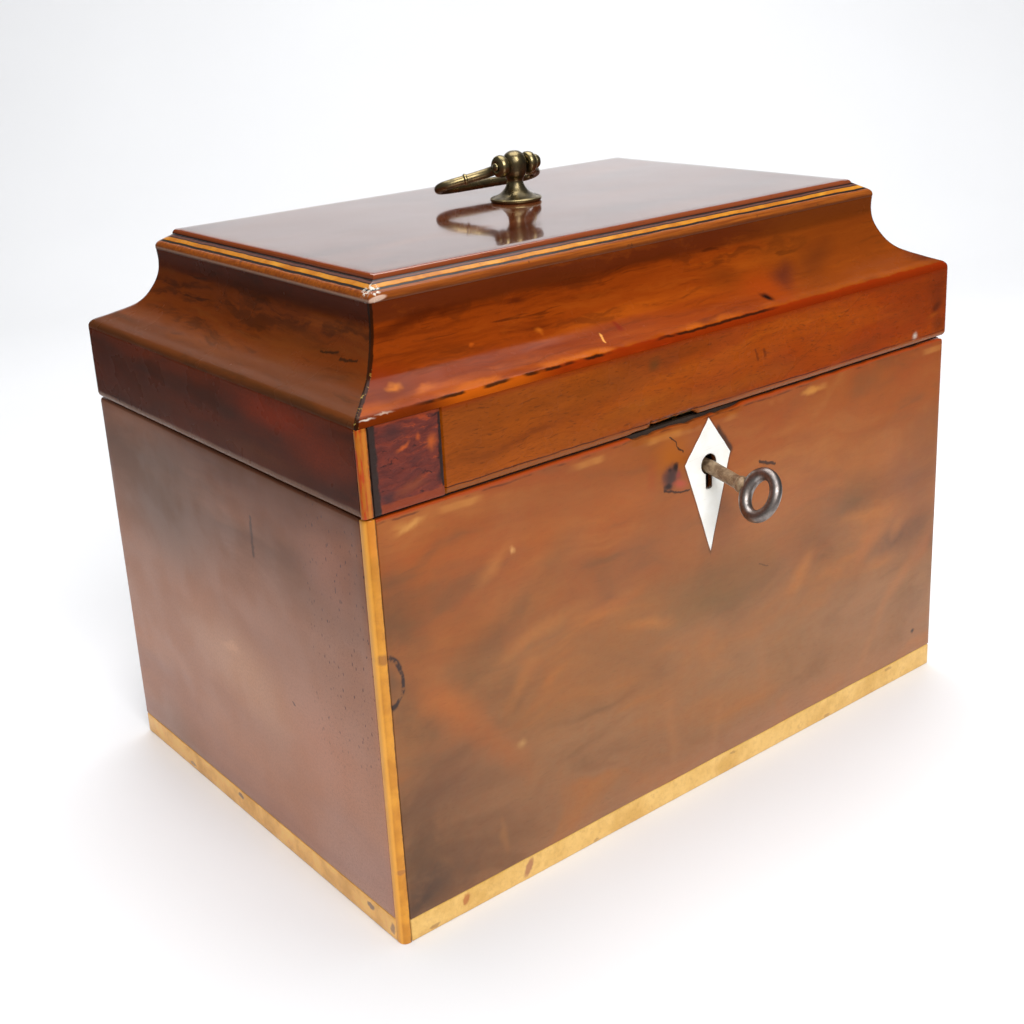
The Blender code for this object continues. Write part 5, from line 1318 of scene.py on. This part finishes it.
patch = slab("fascia_patch", (-107.65, -87.7), (-75.0, -73.5), (116.85, 138.4), mat_patch(), "lid", "cove_mahogany",
             ["lid_fascia_patch"], cell=0.8, bevel=0.22, wobble=0.05, seed=6.0,
             shape=lambda p, q: q + Vector((0, 0.10 * max(0.0, nz(p, 0.7, 3)) if p.y < -74.5 else 0, 0)))


def string_notch(p, q):
    e = nz((0, 0, p.z), 0.7, 12)
    if p.x > -109.2:
        q.x -= 0.35 * max(0.0, e)
    return q


slab("corner_string_lid", (-110.8, -107.9), (-75.0, -73.72), (116.75, 138.45), mat_boxwood("corner_string_lid_box", True, [
    ((-108.8, 119.5), (1.2, 1.4), 0, (0.45, 0.18, 0.05), 0.8),
    ((-108.6, 128.0), (1.0, 1.6), 0, (0.44, 0.20, 0.06), 0.7),
    ((-108.9, 138.5), (1.6, 1.4), 0, (0.30, 0.12, 0.04), 0.8),
], "xz", lid_string_stain), "lid", "boxwood", ["lid_corner_string"],
     shape=lambda p, q: round_corner(string_notch(p, q), "x", -110.8, "y", -75.0, 0.95), cell=1.1, bevel=0.2, wobble=0.06,
     seed=3.0, extra=([-110.6 + 0.2 * i for i in range(7)], [-74.85 + 0.2 * i for i in range(5)], []))

# ============================================================ the handle

AGED, POLISHED = mat_brass("aged_brass_metal", True), mat_brass("brass_metal", False)
POST = Vector((2.0, 5.0, 167.3))
PIVOT = Vector((2.0, 5.0, 178.3))
profile = [(0, 15.2), (0.9, 15.15), (1.7, 14.92), (2.7, 14.2), (3.4, 13.1), (3.7, 11.9), (3.72, 10.3), (3.62, 9.0),
           (3.3, 7.95), (2.8, 7.15), (2.5, 6.4), (2.55, 5.6), (2.9, 4.6), (3.6, 3.5), (4.6, 2.5), (5.7, 1.85)]
foot = [(6.8, 1.5), (7.5, 1.3), (7.82, 1.05), (7.88, 0.7), (7.75, 0.35), (7.4, 0.1), (7.0, 0.02), (0, 0.02)]
bm = bmesh.new()
lathe_bm(bm, catmull(profile, 5) + foot, Matrix.Translation(POST), 96)
lathe_bm(bm, [(0, -10.95), (1.7, -10.95), (2.0, -10.7), (2.0, 0.2), (0, 0.2)], Matrix.Translation(POST), 32)
piece("handle_post_turned", bm, AGED, "lid", ["handle_post"], 40)

along_x = Matrix.Translation(PIVOT) @ Matrix.Rotation(math.pi / 2, 4, "Y")
bm = bmesh.new()
lathe_bm(bm, [(0, -7.9), (0.6, -7.85), (1.05, -7.65), (1.2, -7.35), (1.2, -7.2), (1.0, -7.15), (1.0, 7.15), (2.1, 7.2),
              (2.3, 7.45), (2.25, 8.3), (1.95, 8.9), (1.2, 9.2), (0, 9.25)], along_x, 48)
piece("handle_pin_turned", bm, AGED, "lid", ["handle_pivot_pin"], 40)

bail_frame = Matrix.Translation(PIVOT) @ Matrix.Rotation(-math.radians(23.6), 4, "X")
half_path = [(5.3, 2.4), (6.2, 4.4), (8.4, 6.4), (11.4, 8.3), (14.6, 10.2), (17.4, 12.2), (18.6, 14.2), (18.0, 16.2),
             (15.8, 17.3), (12.4, 17.6), (6.4, 17.5), (0.0, 17.4)]
whole = [(-x, y, 0.0) for x, y in half_path] + [(x, y, 0.0) for x, y in reversed(half_path[:-1])]
bm = bmesh.new()
tube_bm(bm, [bail_frame @ Vector(p) for p in catmull(whole, 7)],
        lambda t: 1.45 + 0.05 * math.cos(4 * math.pi * t) + 0.02 * math.sin(31 * t), 32)
ring = [(1.37, -1.6), (1.55, -1.75), (2.1, -1.75), (2.75, -1.5), (3.2, -1.0), (3.4, -0.3), (3.4, 0.3), (3.2, 0.9),
        (2.75, 1.35), (2.1, 1.5), (1.55, 1.45), (1.37, 1.35)]
for s in (-1, 1):
    lathe_closed(bm, ring, Matrix.Translation(PIVOT + Vector((5.33 * s, 0, 0))) @ Matrix.Rotation(-s * math.pi / 2, 4, "Y"), 48)
    lean = Vector((3.2 * s, 1.95, 0)).normalized()
    at = bail_frame @ Matrix.Translation((12.6 * s, 9.0, 0)) @ lean.to_track_quat("Z", "Y").to_matrix().to_4x4()
    lathe_bm(bm, [(0, -0.6), (1.4, -0.6), (1.68, -0.4), (1.76, -0.1), (1.76, 0.1), (1.68, 0.4), (1.4, 0.6), (0, 0.6)],
             at, 40)
piece("handle_bail_wire", bm, AGED, "handle_bail", ["handle_bail"], 40)

# ============================================================ the keyhole plate and the key

BONE = mat_bone("bone_white")


def curve_plate(name, loops, half, bevel, frame):
    """A flat plate with rounded edges from closed outlines, inner ones being holes."""
    data = bpy.data.curves.new(name, "CURVE")
    data.dimensions = "2D"
    data.fill_mode = "BOTH"
    data.extrude = (half - bevel)
    data.bevel_depth = bevel
    data.bevel_resolution = 3
    data.offset = -bevel
    for loop in loops:
        sp = data.splines.new("POLY")
        sp.points.add(len(loop) - 1)
        for pt, (u, v) in zip(sp.points, loop):
            pt.co = (u, v, 0.0, 1.0)
        sp.use_cyclic_u = True
    tmp = bpy.data.objects.new(name, data)
    scene.collection.objects.link(tmp)
    bpy.context.view_layer.update()
    mesh = bpy.data.meshes.new_from_object(tmp.evaluated_get(bpy.context.evaluated_depsgraph_get()))
    bm = bmesh.new()
    bm.from_mesh(mesh)
    bmesh.ops.remove_doubles(bm, verts=bm.verts, dist=0.001)
    bm.transform(frame)
    bpy.data.objects.remove(tmp, do_unlink=True)
    bpy.data.curves.remove(data)
    bpy.data.meshes.remove(mesh)
    return bm


kite = [(2.6, 114.4), (-6.9, 102.8), (2.9, 74.7), (11.1, 102.6)]
outer = []
for i in range(4):
    a, b = Vector(kite[i]), Vector(kite[(i + 1) % 4])
    nrm = Vector((a.y - b.y, b.x - a.x)).normalized()
    for k in range(14):
        t = k / 14
        p = a.lerp(b, t) + nrm * (0.16 * nz((t * 9 + i * 20, 0, 0), 0.55, 2) * (0 if k == 0 else 1))
        outer.append((p.x, p.y))
hole = []
a0 = math.asin(1.25 / 3.0)
for k in range(33):
    a = -math.pi / 2 + a0 + (2 * math.pi - 2 * a0) * k / 32
    hole.append((2.4 + 3.0 * math.cos(a), 101.0 + 3.0 * math.sin(a)))
hole += [(1.15, 94.1), (1.5, 93.7), (2.4, 93.6), (3.3, 93.7), (3.65, 94.1)]
xz = Matrix.Translation((0, -74.02, 0)) @ Matrix.Rotation(math.pi / 2, 4, "X")
bm = curve_plate("plate", [outer, hole], 0.62, 0.18, xz)
piece("escutcheon_plate", bm, BONE, "root", ["escutcheon"], 40)



def carve(obj, outline, y0, y1):
    """Cuts an opening of this outline, in X and Z, through a piece."""
    bm = bmesh.new()
    rows = [[bm.verts.new((x * MM, y * MM, z * MM)) for x, z in outline] for y in (y0, y1)]
    n = len(outline)
    for k in range(n):
        bm.faces.new((rows[0][k], rows[0][(k + 1) % n], rows[1][(k + 1) % n], rows[1][k]))
    for tri in tessellate_polygon([[Vector((x, z, 0.0)) for x, z in outline]]):
        bm.faces.new([rows[0][k] for k in tri])
        bm.faces.new([rows[1][k] for k in reversed(tri)])
    bmesh.ops.recalc_face_normals(bm, faces=bm.faces)
    mesh = bpy.data.meshes.new("opening")
    bm.to_mesh(mesh)
    bm.free()
    cutter = bpy.data.objects.new("opening", mesh)
    scene.collection.objects.link(cutter)
    mod = obj.modifiers.new("opening", "BOOLEAN")
    mod.object, mod.operation, mod.solver = cutter, "DIFFERENCE", "EXACT"
    bpy.context.view_layer.update()
    made = bpy.data.meshes.new_from_object(obj.evaluated_get(bpy.context.evaluated_depsgraph_get()))
    obj.modifiers.remove(mod)
    old, obj.data = obj.data, made
    bpy.data.meshes.remove(old)
    bpy.data.objects.remove(cutter, do_unlink=True)
    bpy.data.meshes.remove(mesh)


carve(VENEER_FACE, hole, -76.0, -72.0)

KEYF = (Matrix.Translation((2.4, -74.5, 100.4)) @ Matrix.Rotation(math.radians(6), 4, "X")
        @ Matrix.Rotation(math.radians(29), 4, "Y"))
IRON, RUST = mat_iron("key_iron"), mat_iron("key_shank_iron", True)


def key_droop(bm):
    """The key hangs a little in its worn hole."""
    for v in bm.verts:
        v.co.z -= 1.75 * max(0.0, -74.9 - v.co.y) / 18.8


bm = bmesh.new()
loop = [KEYF @ Vector((0, -19.1 + 4.5 * math.cos(2 * math.pi * i / 72), 5.95 * math.sin(2 * math.pi * i / 72)))
        for i in range(72)]
tube_bm(bm, loop, lambda t: 1.76 + 0.10 * math.cos(2 * math.pi * t) + 0.04 * math.sin(19 * t), 32, True)
key_droop(bm)
piece("key_bow_ring", bm, IRON, "key", (), 50)
to_y = KEYF @ Matrix.Rotation(-math.pi / 2, 4, "X")
shank = [(0, 8.2), (1.2, 8.2), (1.7, 7.9), (1.85, 7.4), (1.85, 0.5), (1.98, -0.5), (1.92, -10.6), (2.0, -11.2), (2.25, -11.6), (2.4, -12.1),
         (2.4, -12.6), (2.2, -13.1), (1.95, -13.4), (1.9, -13.9), (1.75, -14.5), (1.2, -15.0), (0, -15.1)]
bm = bmesh.new()
lathe_bm(bm, [(r, h) for r, h in shank], to_y, 48, 0.05, 4.0)
key_droop(bm)
piece("key_shank", bm, RUST, "key", ["key"], 40)
bm = slab_bm((-0.8, 0.8), (4.2, 8.0), (-6.4, -0.5), cell=1.0, bevel=0.15, segments=2)
bm.transform(KEYF)
piece("key_bit", bm, RUST, "key")

# ============================================================ inside

LEAD = mat_lead()
INNER = mat_inner_lid("inner_lid_wood")
for side in ("left", "right"):
    x0, y0, z0, x1, y1, z1 = bx("inner_lid_" + side)
    slab("inner_lid_panel_" + side, (x0, x1), (y0, y1), (z0, z1), INNER, "inner_lid_" + side, "side_mahogany",
         ["inner_lid_" + side], cell=5.0, bevel=0.9, wobble=0.06, seed=7.0,
         shape=lambda p, q: Vector((p.x, p.y, q.z)))
    kx, ky = (x0 + x1) / 2, (y0 + y1) / 2
    knob = [(0, 12.0), (1.0, 11.97), (2.0, 11.8), (3.7, 11.0), (4.8, 9.6), (5.2, 8.0), (4.8, 6.4), (3.6, 5.0), (2.6, 3.8),
            (2.3, 2.6)]
    bm = bmesh.new()
    lathe_bm(bm, catmull(knob, 5) + [(2.6, 1.8), (4.1, 1.45), (4.55, 1.1), (4.6, 0.6), (4.4, 0.1), (0, 0.1)],
             Matrix.Translation((kx, ky, z1 - 0.1)), 64)
    lathe_bm(bm, [(0, -5.3), (1.8, -5.3), (1.95, -5.1), (1.95, 0.15), (0, 0.15)], Matrix.Translation((kx, ky, z1 - 0.1)), 24)
    piece("inner_knob_turned_" + side, bm, BONE, "inner_lid_" + side, ["inner_knob_" + side], 40)

# ============================================================ kept CAD nodes

BOARD_X, BOARD_Y = mat_carcase("board_wood_x", (0.300, 0.165, 0.075), "xz"), mat_carcase("board_wood_y", (0.300, 0.165, 0.075), "yz")
BASE = mat_carcase("base_wood", (0.235, 0.130, 0.062), "xz")
DIVIDER = mat_carcase("divider_wood", (0.215, 0.090, 0.038), "yz")
IRON_SCREW = mat_iron("screw_iron")

tree = bpy.data.node_groups.new("soft_shading", "GeometryNodeTree")
tree.interface.new_socket("Geometry", in_out="INPUT", socket_type="NodeSocketGeometry")
tree.interface.new_socket("Geometry", in_out="OUTPUT", socket_type="NodeSocketGeometry")
gi, go = tree.nodes.new("NodeGroupInput"), tree.nodes.new("NodeGroupOutput")
ang = tree.nodes.new("GeometryNodeInputMeshEdgeAngle")
cmp_ = tree.nodes.new("ShaderNodeMath")
cmp_.operation = "GREATER_THAN"
cmp_.inputs[1].default_value = math.radians(32)
sh1, sh2 = tree.nodes.new("GeometryNodeSetShadeSmooth"), tree.nodes.new("GeometryNodeSetShadeSmooth")
sh1.domain, sh2.domain = "FACE", "EDGE"
sh1.inputs["Shade Smooth"].default_value = True
sh2.inputs["Shade Smooth"].default_value = False
tree.links.new(gi.outputs[0], sh1.inputs["Geometry"])
tree.links.new(sh1.outputs[0], sh2.inputs["Geometry"])
tree.links.new(ang.outputs["Unsigned Angle"], cmp_.inputs[0])
tree.links.new(cmp_.outputs[0], sh2.inputs["Selection"])
tree.links.new(sh2.outputs[0], go.inputs[0])


def keep(node, mat, bevel=0.0):
    o = NODES[node]
    o.data.materials.clear()
    o.data.materials.append(mat)
    weld = o.modifiers.new("weld", "WELD")
    weld.merge_threshold = 0.000005
    if bevel:
        m = o.modifiers.new("eased_edges", "BEVEL")
        m.width, m.segments, m.limit_method, m.angle_limit = bevel * MM, 2, "ANGLE", math.radians(40)
    o.modifiers.new("soft_shading", "NODES").node_group = tree


for n in NODES:
    if NODES[n].hide_render:
        continue
    if n in ("front_board",):
        keep(n, BOARD_X, 0.35)
    elif n == "back_board":
        keep(n, BACK, 0.4)
    elif n in ("left_board", "right_board"):
        keep(n, BOARD_Y, 0.35)
    elif n == "base_board":
        keep(n, BASE, 0.3)
    elif n == "compartment_divider":
        keep(n, DIVIDER, 0.5)
    elif n.startswith("tea_lining"):
        keep(n, LEAD, 0.25)
    elif "screw" in n:
        keep(n, POLISHED)
    elif n.startswith("hinge") or n.startswith("lock") or n == "handle_nut":
        keep(n, POLISHED, 0.12)

# ============================================================ floor, light, camera

def floor_material():
    g = Graph("studio_floor")
    n = g.noise(g.P, 0.004, 3.0, 0.5)
    base = g.mix(g.rng(n, 0.3, 0.7), (0.865, 0.870, 0.885), (0.845, 0.850, 0.865))
    # Painted shade: the sweep's near end darkens, as if falling off into the unlit room.
    d = g.ma("ADD", g.ma("MULTIPLY", g.x, 0.613), g.ma("MULTIPLY", g.y, 0.790))
    side = g.ma("SUBTRACT", g.ma("MULTIPLY", g.x, 0.790), g.ma("MULTIPLY", g.y, 0.613))
    away = g.ma("MINIMUM", d, 0.0)
    wide = g.ma("MULTIPLY", g.ma("MAXIMUM", d, 0.0), 0.32)
    r = g.ma("SUBTRACT", g.vm("LENGTH", g.comb(away, side, 0.0)), wide)
    base = g.mix(g.rng(r, 290.0, 460.0), base, (0.15, 0.15, 0.155))
    return g.done(base, 0.6, Specular_IOR_Level=0.2)


bm = bmesh.new()
prof = [(-1600.0, 0.0), (600.0, 0.0)] + [(600 + 400 * math.sin(a), 400 - 400 * math.cos(a)) for a in
                                         [math.pi / 2 * i / 16 for i in range(1, 17)]] + [(1000.0, 1500.0)]
u = Vector((0.613, 0.790, 0))
v = Vector((0.790, -0.613, 0))
rows = [[bm.verts.new((u * d + v * s + Vector((0, 0, h))) * MM) for s in (-2600, -800, 800, 2600)] for d, h in prof]
for a, b in zip(rows, rows[1:]):
    for k in range(3):
        bm.faces.new((a[k], a[k + 1], b[k + 1], b[k]))
mesh = bpy.data.meshes.new("studio_floor")
bm.to_mesh(mesh)
bm.free()
mesh.shade_smooth()
mesh.materials.append(floor_material())
floor = bpy.data.objects.new("studio_floor", mesh)
scene.collection.objects.link(floor)

world = bpy.data.worlds.new("studio")
scene.world = world
world.use_nodes = True
world.node_tree.nodes["Background"].inputs[0].default_value = (0.97, 0.985, 1.0, 1)
world.node_tree.nodes["Background"].inputs[1].default_value = 0.16


def area(name, at, to, size, power, colour=(1, 1, 1)):
    light = bpy.data.lights.new(name, "AREA")
    light.shape = "RECTANGLE"
    light.size, light.size_y = size
    light.energy = power
    light.color = colour
    o = bpy.data.objects.new(name, light)
    o.location = Vector(at) * MM
    o.rotation_euler = (Vector(to) - Vector(at)).to_track_quat("-Z", "Y").to_euler()
    scene.collection.objects.link(o)
    return o


area("key_soft", (-350, -1150, 1050), (0, 0, 60), (0.9, 0.9), 21)
area("top_soft", (120, 150, 1200), (0, 0, 100), (1.0, 1.0), 12.6)
area("back_soft", (250, 320, 900), (610, 790, 150), (0.8, 0.5), 0.15)

cam_data = bpy.data.cameras.new("camera")
cam = bpy.data.objects.new("camera", cam_data)
scene.collection.objects.link(cam)
scene.camera = cam
az, el, ro = math.radians(-37.837), math.radians(18.190), math.radians(-3.089)
back = Vector((math.sin(az) * math.cos(el), -math.cos(az) * math.cos(el), math.sin(el)))
fwd = -back
r = fwd.cross(Vector((0, 0, 1))).normalized()
up = r.cross(fwd)
r2 = math.cos(ro) * r + math.sin(ro) * up
u2 = -math.sin(ro) * r + math.cos(ro) * up
m = Matrix((r2, u2, back)).transposed().to_4x4()
m.translation = Vector((-266.87, -331.75, 233.57)) * MM
cam.matrix_world = m
cam_data.sensor_width = 36.0
cam_data.lens = 49.42
cam_data.shift_x = 0.0022
cam_data.shift_y = -0.075
cam_data.clip_start, cam_data.clip_end = 0.02, 20.0

scene.view_settings.view_transform = "Standard"
scene.view_settings.look = "None"
scene.view_settings.exposure = 0.0
